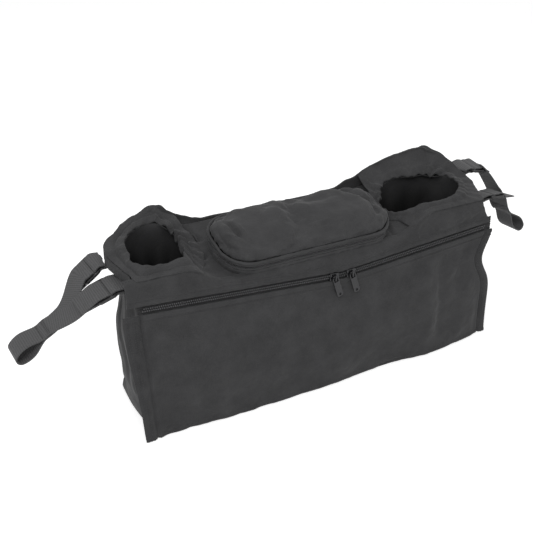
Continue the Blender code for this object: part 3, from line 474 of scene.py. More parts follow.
# Woven zip tape, close and matt.
zipTape = wovenCloth("woven_zip_tape", "#303031", "#262627", 0.0011, 0.00020, 0.85, 0.08, 0.0002)
# Polypropylene webbing with a cross rib every 1.6 mm, drawn at 2.1 mm, with painted shade in the grooves between ribs.
webbing = ribbedWebbing("polypropylene_webbing", "#4b4b4c", "#353536", 0.0021, 0.0002)
# Injection-moulded acetal, satin: the buckles' edges catch the light.
acetal = mouldedPlastic("moulded_acetal", "#242425", "#1a1a1b", 0.0006, 0.28)
# Zip coil of nylon monofilament, with a slight gloss.
nylonCoil = mouldedPlastic("nylon_monofilament", "#4c4c4e", "#343435", 0.0010, 0.36)
# Zinc alloy with black enamel: hard reflections, softened by a fine orange peel.
enamelFinish = {"Metallic": 0.6, "Coat Weight": 0.3}
blackEnamel = mouldedPlastic("black_enamelled_zinc", "#2a2a2c", "#202022", 0.0008, 0.22, enamelFinish)
# Bonded polyester sewing thread, slightly darker than the cloth.
sewingThread = mouldedPlastic("polyester_thread", "#333334", "#262627", 0.0009, 0.6)
print("materials made")


def sheetLook(flat, thickness, restsOn, slotName="cloth", material=oxfordCloth, held="stretched"):
    return {
        "flat": flat, "thickness": thickness, "restsOn": restsOn, "slot": slotName, "material": material, "held": held,
    }


# bag shell

shell = {
    "hemHeight": 0.010, "hemRise": 0.0007, "seamGroove": 0.0009, "rumple": 0.0016,
    "front_wall": sheetLook((0.40, 0.165), cloth["wall"], ["bottom_panel"]),
    "back_panel": sheetLook((0.40, 0.19), cloth["wall"], ["bottom_panel"]),
    "left_end_panel": sheetLook((0.12, 0.18), cloth["wall"], ["bottom_panel"]),
    "right_end_panel": sheetLook((0.11, 0.18), cloth["wall"], ["bottom_panel"]),
    "divider": sheetLook((0.09, 0.155), cloth["panel"], ["bottom_panel"]),
}


def hemRelief(down):  # a turned edge with its stitched groove, down is the distance from the edge
    return shell["hemRise"] * smooth(shell["hemHeight"] + 0.0006, shell["hemHeight"] - 0.0006, down) - ridge(
        down, shell["hemHeight"] - 0.0018, 0.0006, shell["seamGroove"])


def wallRelief(folds, seed):
    def relief(u, v, point):
        high = rimZ(point.x, point.y) - point.z
        lift = hemRelief(high) + hemRelief(point.z - cloth["wallFootZ"])
        edge = smooth(0.0, 0.06, u) * smooth(1.0, 0.94, u)
        body = edge * smooth(0.0, 0.10, v) * smooth(1.0, 0.90, v)
        lift += body * rumple(point, 0.045, shell["rumple"], seed)
        for start, end, half, height in folds:
            lift += edge * crease(u, v, start, end, half, height)
        return lift
    return relief


def wallPiece(name, side, columns, rows, folds, seed):
    def place(u, v):
        return wallPoint(side, mix(-0.002, 1.002, u), v)

    return clothPiece(name + "_cloth", columns, rows, place, shell[name], [name], wallRelief(folds, seed))


# folds are (start, end, half width, height) in shares of the wall
wallPiece("front_wall", "front", 120, 40, [], 1.0)
wallPiece("back_panel", "back", 200, 90, [
    ((0.15, 0.10), (0.28, 0.95), 0.025, 0.0035), ((0.42, 0.05), (0.38, 0.80), 0.03, -0.0030),
    ((0.62, 0.2), (0.72, 1.0), 0.025, 0.0035),
    ((0.85, 0.1), (0.80, 0.9), 0.03, -0.0025), ((0.80, 1.0), (0.93, 0.72), 0.02, 0.003)], 2.0)
wallPiece("left_end_panel", "left", 90, 90, [
    ((0.30, 1.0), (0.42, 0.25), 0.05, 0.0032), ((0.55, 1.0), (0.60, 0.2), 0.05, -0.0030),
    ((0.80, 0.95), (0.70, 0.15), 0.05, 0.0026),
    ((0.10, 0.30), (0.45, 0.12), 0.05, 0.0018)], 3.0)
wallPiece("right_end_panel", "right", 90, 90, [
    ((0.28, 1.0), (0.35, 0.2), 0.05, -0.0030), ((0.52, 1.0), (0.50, 0.3), 0.05, 0.0032),
    ((0.75, 1.0), (0.68, 0.2), 0.05, -0.0024)], 4.0)

for name, x in (("left_divider", lid["dividerLeftX"]), ("right_divider", lid["dividerRightX"])):
    def dividerPlace(u, v, x=x):
        deckHeight = top["lidDeckZ"] + top["lidDeckSlope"] * mix(bag["rimFrontY"], bag["rimBackY"], u)
        high = deckHeight - cloth["panel"] - 3 * cloth["gap"]
        z = mix(cloth["baseBoard"] + cloth["gap"], high, v)
        inner = frontY(x, z) + cloth["wall"] + cloth["gap"]
        outer = mix(bag["baseDepth"] / 2, bag["rimBackY"], wallShare(z)) - cloth["wall"] - cloth["gap"]
        return (x, mix(inner, outer, u), z)
    clothPiece(name + "_cloth", 30, 50, dividerPlace, shell["divider"], [name], offset=0.0)
print("shell made")

# top panel

cup = {
    "leftHalfLength": 0.035,
    "leftX": -0.172,
    "rightHalfLength": 0.0495,
    "rightX": 0.13,
    "y": -0.004,
    "halfDepth": 0.032,
    "shear": 0.16,
    "floorZ": 0.045,
    "taper": 0.82,
}

deck = {
    **sheetLook((0.40, 0.086), cloth["panel"], ["front_wall_cloth", "back_panel_cloth"]),
    "area": 0.0198,  # square metres once its three holes are cut
    "pleat": 0.0006, "mouthInset": 0.012,
    # folds in metres on the plan: start, end, half width, height
    "folds": [
        ((-0.130, 0.036), (-0.118, 0.014), 0.0035, -0.0055), ((-0.134, -0.016), (-0.119, -0.006), 0.0022, -0.0022),
        ((-0.136, -0.030), (-0.116, -0.024), 0.0040, 0.0016), ((0.074, -0.040), (0.078, -0.020), 0.0026, -0.0030),
    ],
}


def cupPlan(centreX, halfLength, halfDepth, angle, power=2.2):
    c, s = math.cos(angle), math.sin(angle)
    x = halfLength * math.copysign(abs(c) ** (2 / power), c)
    y = halfDepth * math.copysign(abs(s) ** (2 / power), s)
    lean = cup["shear"] if centreX < 0 else -cup["shear"]
    return centreX + x + lean * y, cup["y"] + y


leftTable, rightTable = endTable("left", 1.0), endTable("right", 1.0)


def cupShare(centreX, halfLength, x, y):  # 1 on the opening's edge
    lean = cup["shear"] if centreX < 0 else -cup["shear"]
    across = abs(y - cup["y"]) / cup["halfDepth"]
    along = abs(x - centreX - lean * (y - cup["y"])) / halfLength
    return (across ** 2.2 + along ** 2.2) ** (1 / 2.2)


def deckPlace(u, v):
    inset = cloth["wall"] + cloth["gap"]
    y = mix(bag["rimFrontY"] + inset, bag["rimBackY"] - inset, v)
    x = mix(tableX(leftTable, y) + inset, tableX(rightTable, y) - inset, u)
    return (x, y, deckZ(x, y))


def deckRelief(u, v, point):
    lift = rumple(point, 0.020, 0.0011, 5.0)
    for start, end, half, height in deck["folds"]:
        lift += crease(point.x, point.y, start, end, half, height)
    for side, pleats in (("left", 11), ("right", 15)):
        centreX = cup[side + "X"]
        share = cupShare(centreX, cup[side + "HalfLength"], point.x, point.y)
        turn = math.atan2(point.y - cup["y"], point.x - centreX)
        near = smooth(0.9, 1.3, share) * math.exp(-max(0.0, share - 1.3) / 0.2)
        lift += deck["pleat"] * near * math.sin(pleats * turn + 2.0 * math.sin(3 * turn))
    return lift


def makeDeck():
    piece = gridPiece("top_panel_cloth", 260, 70, deckPlace, deckRelief, size=deck["flat"])
    bm = bmesh.new()
    bm.from_mesh(piece.data)
    holes = []
    for face in bm.faces:
        middle = face.calc_center_median()
        fromLid = (abs(middle.x - lid["x"]) - lid["halfLength"], abs(middle.y - lid["y"]) - lid["halfDepth"])
        shares = [cupShare(cup[side + "X"], cup[side + "HalfLength"], middle.x, middle.y) for side in ("left", "right")]
        if max(fromLid) < -deck["mouthInset"] or min(shares) < 0.99:
            holes.append(face)
    bmesh.ops.delete(bm, geom=holes, context="FACES")
    bm.to_mesh(piece.data)
    bm.free()
    applyModifier(piece, "SOLIDIFY", thickness=deck["thickness"], offset=-1.0)
    shadeSmooth(piece)
    dressPiece(piece, deck["material"], ["top_panel"])


makeDeck()

# cups

cupLook = {
    "foldDepth": 0.0040, "edgeY": 0.0468, "footRise": 0.0020, "half": 0.0011, "hem": 0.0012,
    # by angle in degrees: the opening's edge as a share of its plan, how high it stands, and the depth of its pleats
    "left": {
        "share": [(-180, 0.84), (-165, 0.84), (-146, 1.0), (-100, 1.03), (-62, 1.02), (-47, 0.86), (-14, 0.64),
            (20, 0.70), (58, 0.88), (85, 1.0),
                  (118, 0.94), (150, 0.88), (180, 0.84)],
        "rise": [(-180, 0.006), (-130, 0.0065), (-60, 0.0070), (-20, 0.0035), (30, 0.0030), (80, 0.0055),
            (180, 0.006)],
        "pleat": [(-180, 0.0004), (-60, 0.0006), (-35, 0.0036), (35, 0.0040), (70, 0.0014), (100, 0.0004),
            (180, 0.0004)],
        "towardLid": 5.0, "lidLimit": 1.32, "seamAt": 0.52,
    },
    "right": {
        "share": [(-180, 0.95), (-150, 0.98), (-92, 1.0), (-43, 0.90), (-7, 0.93), (21, 0.96), (40, 0.80),
            (58, 0.84), (74, 0.76), (92, 0.86),
                  (115, 0.93), (151, 0.82), (180, 0.95)],
        "rise": [(-180, 0.0045), (-90, 0.0050), (-20, 0.0050), (40, 0.0020), (100, 0.0010), (140, 0.0030),
            (180, 0.0045)],
        "pleat": [(-180, 0.0008), (-140, 0.0004), (-40, 0.0005), (10, 0.0008), (35, 0.0022), (60, 0.0006),
            (110, 0.0006), (135, 0.0022), (165, 0.0020), (180, 0.0008)],
        "towardLid": 180.0, "lidLimit": 1.10, "seamAt": 0.44,
    },
}


def rimReach(look, centreX, halfLength, angle):  # where the strip of cloth round an opening meets the bag's edge
    degrees = math.degrees(angle)
    away = abs((degrees - look["towardLid"] + 180.0) % 360.0 - 180.0)
    limit = mix(look["lidLimit"], 1.7, smooth(35.0, 70.0, away))
    share = 1.04
    while share < limit:
        x, y = cupPlan(centreX, halfLength * share, cup["halfDepth"] * share, angle)
        if y > bag["rimBackY"] - 0.0006 or y < -cupLook["edgeY"]:
            break
        if x < tableX(leftTable, y) + 0.0006 or x > tableX(rightTable, y) - 0.0006:
            break
        share += 0.005
    return share


def makeCup(sideName, centreX, halfLength, pleats, flat, seed):
    clearance = cloth["liner"] + 2 * cloth["gap"]
    look = cupLook[sideName]
    columns = 360
    reach = [rimReach(look, centreX, halfLength, 2 * math.pi * n / columns) for n in range(columns)]
    reach = [sum(reach[(n + k) % columns] for k in range(-3, 4)) / 7 for n in range(columns)]

    def collar(u, v):
        angle, around = 2 * math.pi * u, 2 * math.pi * v
        degrees = (math.degrees(angle) + 180.0) % 360.0 - 180.0
        c, rise = math.cos(around), math.sin(around)
        out = 0.5 + 0.5 * math.copysign(abs(c) ** 0.8, c)
        inner, outer = tableValue(look["share"], degrees), reach[round(u * columns) % columns]
        share = mix(inner, outer, out)
        wave = math.sin(pleats * angle + 1.3 * math.sin(3 * angle + seed))
        deep = tableValue(look["pleat"], degrees)
        share += 8.0 * deep * wave * (1.0 - out)
        x, y = cupPlan(centreX, halfLength * share, cup["halfDepth"] * share, angle)
        y = max(y, -cupLook["edgeY"])
        farX, farY = cupPlan(centreX, halfLength * outer, cup["halfDepth"] * outer, angle)
        nearX, nearY = cupPlan(centreX, halfLength * inner, cup["halfDepth"] * inner, angle)
        far = rimZ(farX, min(farY, bag["rimBackY"])) + mix(0.0006, cupLook["footRise"], smooth(-0.028, -0.042, farY))
        near = deckZ(nearX, nearY) + tableValue(look["rise"], degrees)
        sag = -0.0016 * math.sin(math.pi * out) * smooth(0.0, 0.02, abs(farY - nearY) + abs(farX - nearX) - 0.006)
        thick = cupLook["half"] + cupLook["hem"] * smooth(look["seamAt"] - 0.02, look["seamAt"] - 0.14, out)
        fold = deep * math.sin(pleats * angle + 1.3 * math.sin(3 * angle + seed) + 2.2 * out + 0.9) * (1.0 - 0.75 * out)
        groove = -ridge(out, look["seamAt"], 0.050, 0.0022) if rise > 0 else 0.0
        z = mix(near, far, out) + sag + fold + thick * math.copysign(abs(rise) ** 0.7, rise) + groove
        return (x, y, z)

    def gathers(u, v, point):
        return rumple(point, 0.012, 0.0007, seed) + rumple(point, 0.004, 0.0002, seed)

    closedPiece(f"{sideName}_cup_collar_cloth", columns, 40, collar, oxfordCloth, [f"{sideName}_cup_collar"],
                gathers, size=(2 * math.pi * halfLength, 0.028))

    def liner(u, v):
        depth = min(1.0, max(0.0, v - 0.06) / 0.69)
        spread = 1.0 if v <= 0.75 else 1.0 - (v - 0.75) / 0.25
        shrink = mix(1.0, cup["taper"], depth) * spread
        length = (halfLength - cloth["gap"]) * shrink
        width = (cup["halfDepth"] - cloth["gap"]) * shrink
        x, y = cupPlan(centreX, length, width, 2 * math.pi * u)
        rimX, rimY = cupPlan(centreX, halfLength - clearance, cup["halfDepth"] - clearance, 2 * math.pi * u)
        z = mix(deckZ(rimX, rimY) - cloth["panel"], cup["floorZ"], depth)
        degrees = (360.0 * u + 180.0) % 360.0 - 180.0
        hem = smooth(0.10, 0.0, v)  # the top follows the collar's edge
        inner = tableValue(look["share"], degrees) + 0.05
        nearX, nearY = cupPlan(centreX, halfLength * inner, cup["halfDepth"] * inner, 2 * math.pi * u)
        near = deckZ(nearX, nearY) + tableValue(look["rise"], degrees) - cupLook["half"] - 0.0004
        return (mix(x, nearX, hem), mix(y, nearY, hem), mix(z, near, hem))

    def linerFolds(u, v, point):
        angle = 2 * math.pi * u
        hang = smooth(0.08, 0.25, v) * smooth(0.80, 0.6, v)
        fold = math.sin(5 * angle + 1.5 * math.sin(2 * angle + seed) + 2.5 * v)
        fold += 0.5 * math.sin(11 * angle + seed - 2.0 * v)
        return -cupLook["foldDepth"] * hang * (0.5 + 0.35 * fold)

    linerLook = sheetLook(flat, cloth["liner"], [f"{sideName}_cup_collar_cloth"], "lining", taffeta, "hung")
    name = f"{sideName}_cup_liner"
    clothPiece(name + "_cloth", 200, 60, liner, linerLook, [name], linerFolds, flip=True)


makeCup("left", cup["leftX"], cup["leftHalfLength"], 19, (0.20, 0.15), 0.7)
makeCup("right", cup["rightX"], cup["rightHalfLength"], 25, (0.24, 0.15), 2.1)
print("top and cups made")

# lid

def lidPlan(grow, share):
    radius = lid["corner"] + grow
    straightX = lid["halfLength"] - lid["corner"]
    straightY = lid["halfDepth"] - lid["corner"]
    arc = math.pi * radius / 2
    runs = [straightX, arc, 2 * straightY, arc, 2 * straightX, arc, 2 * straightY, arc, straightX]
    along = (share % 1.0) * sum(runs)
    place = Vector((0.0, lid["halfDepth"] + grow))
    heading = math.pi
    for number, run in enumerate(runs):
        step = min(along, run)
        if number % 2:
            turn = step / radius
            side = Vector((-math.sin(heading), math.cos(heading)))
            middle = place + side * radius
            place = middle + radius * Vector((math.sin(heading + turn), -math.cos(heading + turn)))
            heading += turn
        else:
            place = place + step * Vector((math.cos(heading), math.sin(heading)))
        along -= step
        if along <= 0:
            break
    return place


def lidShare(x):
    perimeter = (
        4 * (lid["halfLength"] - lid["corner"])
        + 4 * (lid["halfDepth"] - lid["corner"])
        + 2 * math.pi * lid["corner"]
    )
    return -(x - lid["x"]) / perimeter


lidLook = {
    "voxel": 0.0028, "pressure": 4.0, "mostMove": 0.0045, "frames": 20,
    "padInset": 0.0017, "pipingShift": 0.0008, "pipingSwell": 1.25, "teeth": 260,
    # creases on the lid's own plane: start, end, half width, height
    "creases": [
        ((-0.079, 0.014), (-0.076, -0.014), 0.0022, -0.0040), ((-0.073, 0.004), (-0.068, -0.022), 0.0030, 0.0020),
        ((-0.086, -0.002), (-0.074, -0.022), 0.0018, 0.0022), ((-0.090, 0.022), (-0.070, 0.030), 0.0030, -0.0016),
        ((0.052, 0.036), (0.083, 0.002), 0.0036, -0.0044), ((0.084, 0.006), (0.077, -0.022), 0.0030, -0.0038),
        ((-0.060, -0.026), (0.020, -0.024), 0.0040, -0.0010), ((-0.030, 0.028), (0.010, 0.006), 0.0080, 0.0012),
        ((0.020, -0.010), (0.064, -0.020), 0.0060, 0.0010), ((-0.010, -0.030), (0.060, -0.031), 0.0025, -0.0010),
    ],
}
lidTilt = math.atan(top["lidDeckSlope"])
lidPlace = (lid["x"], lid["y"], top["lidDeckZ"] + top["lidDeckSlope"] * lid["y"])
lidFrame = Matrix.Translation(lidPlace) @ Matrix.Rotation(lidTilt, 4, "X")
lidLevel1 = cloth["gap"] + lid["bandHeight"]
lidLevel2 = lidLevel1 + cloth["gap"] + lid["tapeHeight"]
lidCoilLevel = lidLevel2 + cloth["gap"] + lid["coilRadius"]
lidLevel3 = lidCoilLevel + lid["coilRadius"] + cloth["gap"]
lidLevel4 = lidLevel3 + lid["tapeHeight"]
lidPadLevel = lidLevel4 + cloth["gap"]
lidZipStart = lidShare(lid["hingeX"] - lid["hingeHalf"])
lidZipEnd = 1.0 + lidShare(lid["hingeX"] + lid["hingeHalf"])


def lidRing(name, columns, low, high, inner, outer, material, nodes, relief=None, start=0.0, end=1.0):
    def place(u, v):
        around = 2 * math.pi * v
        c, s = math.cos(around), math.sin(around)
        grow = mix(inner, outer, 0.5 + 0.5 * math.copysign(abs(c) ** 0.5, c))
        rise = mix(low, high, 0.5 + 0.5 * math.copysign(abs(s) ** 0.5, s))
        flat = lidPlan(grow, mix(start, end, u))
        return lidFrame @ Vector((flat.x, flat.y, rise))
    return closedPiece(name, columns, 16, place, material, nodes, relief, size=(0.47, 0.014))


def closeEnds(piece):  # caps an open tube
    bm = bmesh.new()
    bm.from_mesh(piece.data)
    bmesh.ops.holes_fill(bm, edges=[e for e in bm.edges if e.is_boundary], sides=0)
    bm.to_mesh(piece.data)
    bm.free()


def bandRelief(u, v, point):
    return rumple(point, 0.012, 0.0007, 6.0) + 0.0003 * math.sin(90 * math.pi * u + 3 * math.sin(14 * math.pi * u))


lidRing("lid_band_cloth", 300, cloth["gap"], lidLevel1, -cloth["wall"], 0.0006, lidCloth, ["lid_band"], bandRelief)
face = -lid["coilRadius"] - cloth["gap"]
zipRun = {"start": lidZipStart, "end": lidZipEnd}
for name, low, high in (
    ("lid_zip_outer_tape", lidLevel1 + cloth["gap"], lidLevel2), ("lid_zip_inner_tape", lidLevel3, lidLevel4)
):
    closeEnds(lidRing(name + "_cloth", 240, low, high, face - cloth["tape"], 0.0004, lidCloth, [name], None, **zipRun))
closeEnds(lidRing(
    "lid_hinge_cloth", 40, lidLevel1 + cloth["gap"], lidLevel4, -cloth["panel"], 0.0, oxfordCloth, ["lid_hinge"], None,
    lidZipEnd + 0.0015, 1.0 + lidZipStart - 0.0015))


def lidCordPlace(offset, rise, radius, start=0.0, end=1.0):
    def place(u, v):
        angle = 2 * math.pi * v
        flat = lidPlan(offset + radius * math.cos(angle), mix(start, end, u))
        return lidFrame @ Vector((flat.x, flat.y, rise + radius * math.sin(angle)))
    return place


def pipingRelief(u, v, point):
    return rumple(point, 0.006, 0.0003, 7.0)


pipingPlace = lidCordPlace(
    lidLook["pipingShift"] - lid["pipingRadius"], lidPadLevel + lid["pipingRadius"],
    lid["pipingRadius"] * lidLook["pipingSwell"])
closedPiece(
    "lid_piping_cloth", 300, 12, pipingPlace, lidCloth, ["lid_piping"], pipingRelief, size=(0.47, 0.008))


def lidCoil():
    places = []
    count = lidLook["teeth"]
    for n in range(count):
        share = mix(lidZipStart, lidZipEnd, (n + 0.5) / count)
        here, ahead = lidPlan(0.0, share), lidPlan(0.0, share + 0.001)
        along = (lidFrame.to_3x3() @ Vector((ahead.x - here.x, ahead.y - here.y, 0.0))).normalized()
        up = lidFrame.to_3x3() @ Vector((0.0, 0.0, 1.0))
        out = along.cross(up)
        for side in (-1, 1):
            centre = lidFrame @ Vector((here.x, here.y, lidCoilLevel)) + up * side * 0.00045 + along * side * 0.0004
            places.append(placeAxes(centre, along, up, out))
    piece = copyAlong("lid_zip_coil_teeth", roundedBar(8, 5, (0.00045, 0.00045, 0.00045)), places, nylonCoil)
    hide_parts("lid_zip_coil")


lidCoil()

padProfile = [(0.0, 0.0), (0.6, 0.0), (0.985, 0.0), (1.0, 0.0022), (0.975, 0.0065), (0.90, 0.0105),
    (0.72, 0.0135), (0.42, 0.0148), (0.0, 0.0150)]


def makePad():
    rows = len(padProfile) - 1

    def pad(u, v):
        step = min(rows - 1, int(v * rows))
        part = v * rows - step
        spread = mix(padProfile[step][0], padProfile[step + 1][0], part)
        rise = mix(padProfile[step][1], padProfile[step + 1][1], part)
        flat = lidPlan(-lidLook["padInset"], u) * spread  # sewn in under the piping
        hollow = 1.0 - 0.14 * ridge(flat.x, 0.012, 0.030, 1.0) * smooth(0.2, 0.8, v)
        return lidFrame @ Vector((flat.x, flat.y, lidPadLevel + rise * hollow))

    piece = gridPiece("lid_pad_cushion", 140, 24, pad)
    applyModifier(piece, "REMESH", mode="VOXEL", voxel_size=lidLook["voxel"])
    start = np.array([v.co for v in piece.data.vertices])
    inward = np.array(lidFrame.inverted())
    local = start @ inward[:3, :3].T + inward[:3, 3]
    held = piece.vertex_groups.new(name="sewnEdge")
    for vert, place in zip(piece.data.vertices, local):
        low = smooth(lidPadLevel + 0.0050, lidPadLevel + 0.0015, place[2])
        held.add([vert.index], low, "REPLACE")
    pickOnly(piece)
    modifier = piece.modifiers.new("Cloth", "CLOTH")
    settings = modifier.settings
    settings.quality = 5
    settings.mass = 0.2
    settings.tension_stiffness = settings.compression_stiffness = 12.0
    settings.bending_stiffness = 0.25
    settings.use_pressure = True
    settings.uniform_pressure_force = lidLook["pressure"]
    settings.shrink_min = -0.06
    settings.vertex_group_mass = "sewnEdge"
    settings.pin_stiffness = 1.0
    settings.effector_weights.gravity = 0.0
    modifier.collision_settings.use_collision = False
    modifier.point_cache.frame_start, modifier.point_cache.frame_end = 1, lidLook["frames"]
    scene = bpy.context.scene
    for number in range(1, lidLook["frames"] + 1):
        scene.frame_set(number)
    pickOnly(piece)
    bpy.ops.object.modifier_apply(modifier="Cloth")
    scene.frame_set(1)
    moved = np.array([v.co for v in piece.data.vertices])
    shift = moved - start
    size = np.linalg.norm(shift, axis=1, keepdims=True)
    shift *= np.minimum(1.0, lidLook["mostMove"] / np.maximum(size, 1e-9))
    for vert, place in zip(piece.data.vertices, start + shift):
        vert.co = place
    applyModifier(piece, "SUBSURF", levels=1, render_levels=1)
    bm = bmesh.new()
    bm.from_mesh(piece.data)
    bm.normal_update()
    inward = lidFrame.inverted()
    for vert in bm.verts:
        local = inward @ vert.co
        upper = smooth(lidPadLevel + 0.0015, lidPadLevel + 0.0070, local.z)
        lift = rumple(local, 0.055, 0.0026, 3.0) + rumple(local, 0.016, 0.0007, 4.0)
        for start, end, half, height in lidLook["creases"]:
            lift += crease(local.x, local.y, start, end, half, height)
        vert.co += vert.normal * lift * upper
    bm.to_mesh(piece.data)
    bm.free()
    shadeSmooth(piece)
    dressPiece(piece, lidCloth, ["lid_pad"])


makePad()
print("lid made")

# front pocket

pocket = {
    "flange": 0.013,
    "pocketBulge": 0.0055,
    "zipValleyX": 0.006,
    "zipValleyZ": 0.125,
    "zipValleyEase": 0.004,
    "zipSlopeLeft": 0.078,
    "zipSlopeRight": 0.072,
    "zipInsetLeft": 0.004,
    "zipEndLeft": -0.196,
    "zipEndRight": 0.184,
    "zipTapeWidth": 0.0095,
    "zipMouth": 0.0046,
    "coilRadius": 0.001,
    "coilDepth": 0.0024,
    "seamFlareLeft": 0.008,
    "seamTuckRight": 0.007,
    "seamDent": 0.014,
    "seamDentZ": 0.1,
    "seamDentHalf": 0.022,
    "yokeTuckRight": 0.012,
    "yokePuff": 0.001,
    "panelFullDepth": 0.075,
    "panelFullFoot": 0.045,
    "panelCreases": ((0.128, 0.006, 0.0016), (-0.092, 0.012, -0.0012), (-0.152, 0.016, 0.001)),
    "panelWave": 0.001,
    "panelWaveRate": 62.0,
}


def zipZ(x):
    run = x - pocket["zipValleyX"]
    slope = pocket["zipSlopeLeft"] if run < 0 else pocket["zipSlopeRight"]
    return pocket["zipValleyZ"] + slope * (math.hypot(run, pocket["zipValleyEase"]) - pocket["zipValleyEase"])


def panelFace(x, z):
    across = max(0.0, 1.0 - (x / (bag["endX"] - pocket["zipInsetLeft"])) ** 4)
    top = zipZ(x) - pocket["zipMouth"]
    down = smooth(0.0, pocket["panelFullDepth"], top - z) * smooth(0.0, pocket["panelFullFoot"], z)
    fold = pocket["panelWave"] * math.sin(pocket["panelWaveRate"] * x + 0.8)
    for middle, half, height in pocket["panelCreases"]:
        fold += height * math.exp(-(((x - middle) / half) ** 2))
    stack = 2 * cloth["gap"] + cloth["tape"] + cloth["panel"]
    return frontY(x, z) - stack - (pocket["pocketBulge"] + fold) * across * down


def seamLeftX(z):
    return -bag["endX"] - pocket["seamFlareLeft"] * min(1.0, z / pocket["zipValleyZ"])


def seamRightX(z):
    dent = math.exp(-(((z - pocket["seamDentZ"]) / pocket["seamDentHalf"]) ** 2))
    return bag["endX"] - pocket["seamTuckRight"] * min(1.0, z / pocket["zipValleyZ"]) - pocket["seamDent"] * dent


pocketLook = {
    "panel": sheetLook((0.43, 0.13), cloth["panel"], ["front_wall_cloth"]),
    "yoke": sheetLook((0.40, 0.030), cloth["panel"], ["front_wall_cloth"]),
    "tape": sheetLook((0.38, 0.0105), cloth["tape"], ["front_wall_cloth"], "tape", zipTape),
    # folds in metres, x and height: start, end, half width, rise
    "folds": [
        ((-0.205, 0.075), (-0.160, 0.002), 0.012, -0.0022), ((-0.151, 0.085), (-0.166, 0.018), 0.006, 0.0016),
        ((-0.147, 0.090), (-0.128, 0.004), 0.011, 0.0020),
        ((-0.112, 0.112), (-0.096, 0.050), 0.013, -0.0024), ((-0.062, 0.110), (-0.060, 0.010), 0.020, 0.0012),
        ((0.010, 0.110), (0.018, 0.020), 0.022, -0.0012),
        ((0.112, 0.120), (0.120, 0.010), 0.0090, 0.0020), ((0.133, 0.120), (0.139, 0.010), 0.0100, -0.0024),
        ((0.165, 0.115), (0.150, 0.030), 0.010, -0.0020),
        ((-0.196, 0.110), (-0.150, 0.098), 0.005, 0.0012), ((0.178, 0.112), (0.140, 0.085), 0.006, 0.0018),
        ((-0.185, 0.035), (-0.170, 0.000), 0.006, 0.0014),
    ],
    "ridges": (0.0022, 0.0052, 0.0084),
    "flangeRight": 0.0095,
    "yokeWall": 0.80,  # the share of the yoke that stands against the wall
    "yokeLeft": 0.0205, "yokeRight": 0.0040, "yokeFlare": 0.0105, "yokeTurn": 0.0024, "yokeLap": 0.0034,
    "tapeLeft": 0.014, "tapeRight": 0.0145,
}


def panelPlace(u, v):
    low = 2 * cloth["gap"]
    z = low
    for _ in range(3):
        flange = pocketLook["flangeRight"] * smooth(-0.020, 0.010, zipZ(0.19) - pocket["zipMouth"] - z)
        x = mix(seamLeftX(z) - pocket["flange"] - 0.004 * smooth(0.03, 0.11, z), seamRightX(z) + flange, u)
        z = mix(low, zipZ(x) - pocket["zipMouth"], v)
    return (x, panelFace(x, z), z)


def panelRelief(u, v, point):
    down = zipZ(point.x) - pocket["zipMouth"] - point.z
    lift = 0.0010 * smooth(0.0085, 0.0070, down) - ridge(down, 0.0058, 0.0008, 0.0010)
    inLeft = point.x - (seamLeftX(point.z) - pocket["flange"])
    inRight = seamRightX(point.z) + pocketLook["flangeRight"] - point.x
    for inside, width in ((inLeft, pocket["flange"]), (inRight, pocketLook["flangeRight"])):
        for place in pocketLook["ridges"]:
            lift += ridge(inside, place, 0.0010, 0.0012)
        lift -= ridge(inside, width, 0.0014, 0.0024)
    full = smooth(pocket["flange"], pocket["flange"] + 0.012, min(inLeft, inRight)) * smooth(0.006, 0.022, down)
    lift += full * (rumple(point, 0.060, 0.0036, 8.0) + rumple(point, 0.020, 0.0009, 9.0))
    for start, end, half, height in pocketLook["folds"]:
        lift += 1.5 * full * crease(point.x, point.z, start, end, half, height)
    return lift + 0.0007 * smooth(0.0045, 0.0035, point.z)


clothPiece("front_pocket_panel_cloth", 300, 110, panelPlace, pocketLook["panel"], ["front_pocket_panel"], panelRelief)


def yokePlace(u, v):
    look = pocketLook
    up = min(1.0, v / look["yokeWall"])
    right = bag["endX"] - pocket["yokeTuckRight"] - look["yokeRight"] + look["yokeFlare"] * (1.0 - up)
    x = mix(-bag["endX"] - look["yokeLeft"], right, u)
    # the last part turns over the rim and lies on the top panel
    over = max(0.0, (v - look["yokeWall"]) / (1.0 - look["yokeWall"]))
    z = mix(zipZ(x) + pocket["zipMouth"], rimZ(x, bag["rimFrontY"]) - 0.0006, up)
    puff = pocket["yokePuff"] * math.sin(math.pi * up) * (1.0 + 0.6 * math.sin(48.0 * x))
    y = frontY(x, z) - 2 * cloth["gap"] - cloth["tape"] - cloth["panel"] - puff
    turn = min(1.0, over / 0.35) * math.pi / 2
    run = max(0.0, (over - 0.35) / 0.65)
    y += look["yokeTurn"] * (1.0 - math.cos(turn)) + look["yokeLap"] * run
    z += look["yokeTurn"] * math.sin(turn) + top["lidDeckSlope"] * look["yokeLap"] * run
    return (x, y, z)


def yokeRelief(u, v, point):
    above = point.z - zipZ(point.x) - pocket["zipMouth"]
    down = rimZ(point.x, bag["rimFrontY"]) - point.z
    lift = 0.0012 * smooth(0.0080, 0.0060, above) - ridge(above, 0.0054, 0.0008, 0.0008)
    middle = smooth(0.004, 0.010, above) * smooth(0.0, 0.010, down)
    lift += middle * (rumple(point, 0.026, 0.0026, 10.0) + rumple(point, 0.009, 0.0007, 11.0))
    return lift + 0.0005 * rumple(point, 0.006, 1.0, 12.0)


clothPiece("front_yoke_cloth", 300, 36, yokePlace, pocketLook["yoke"], ["front_yoke"], yokeRelief)


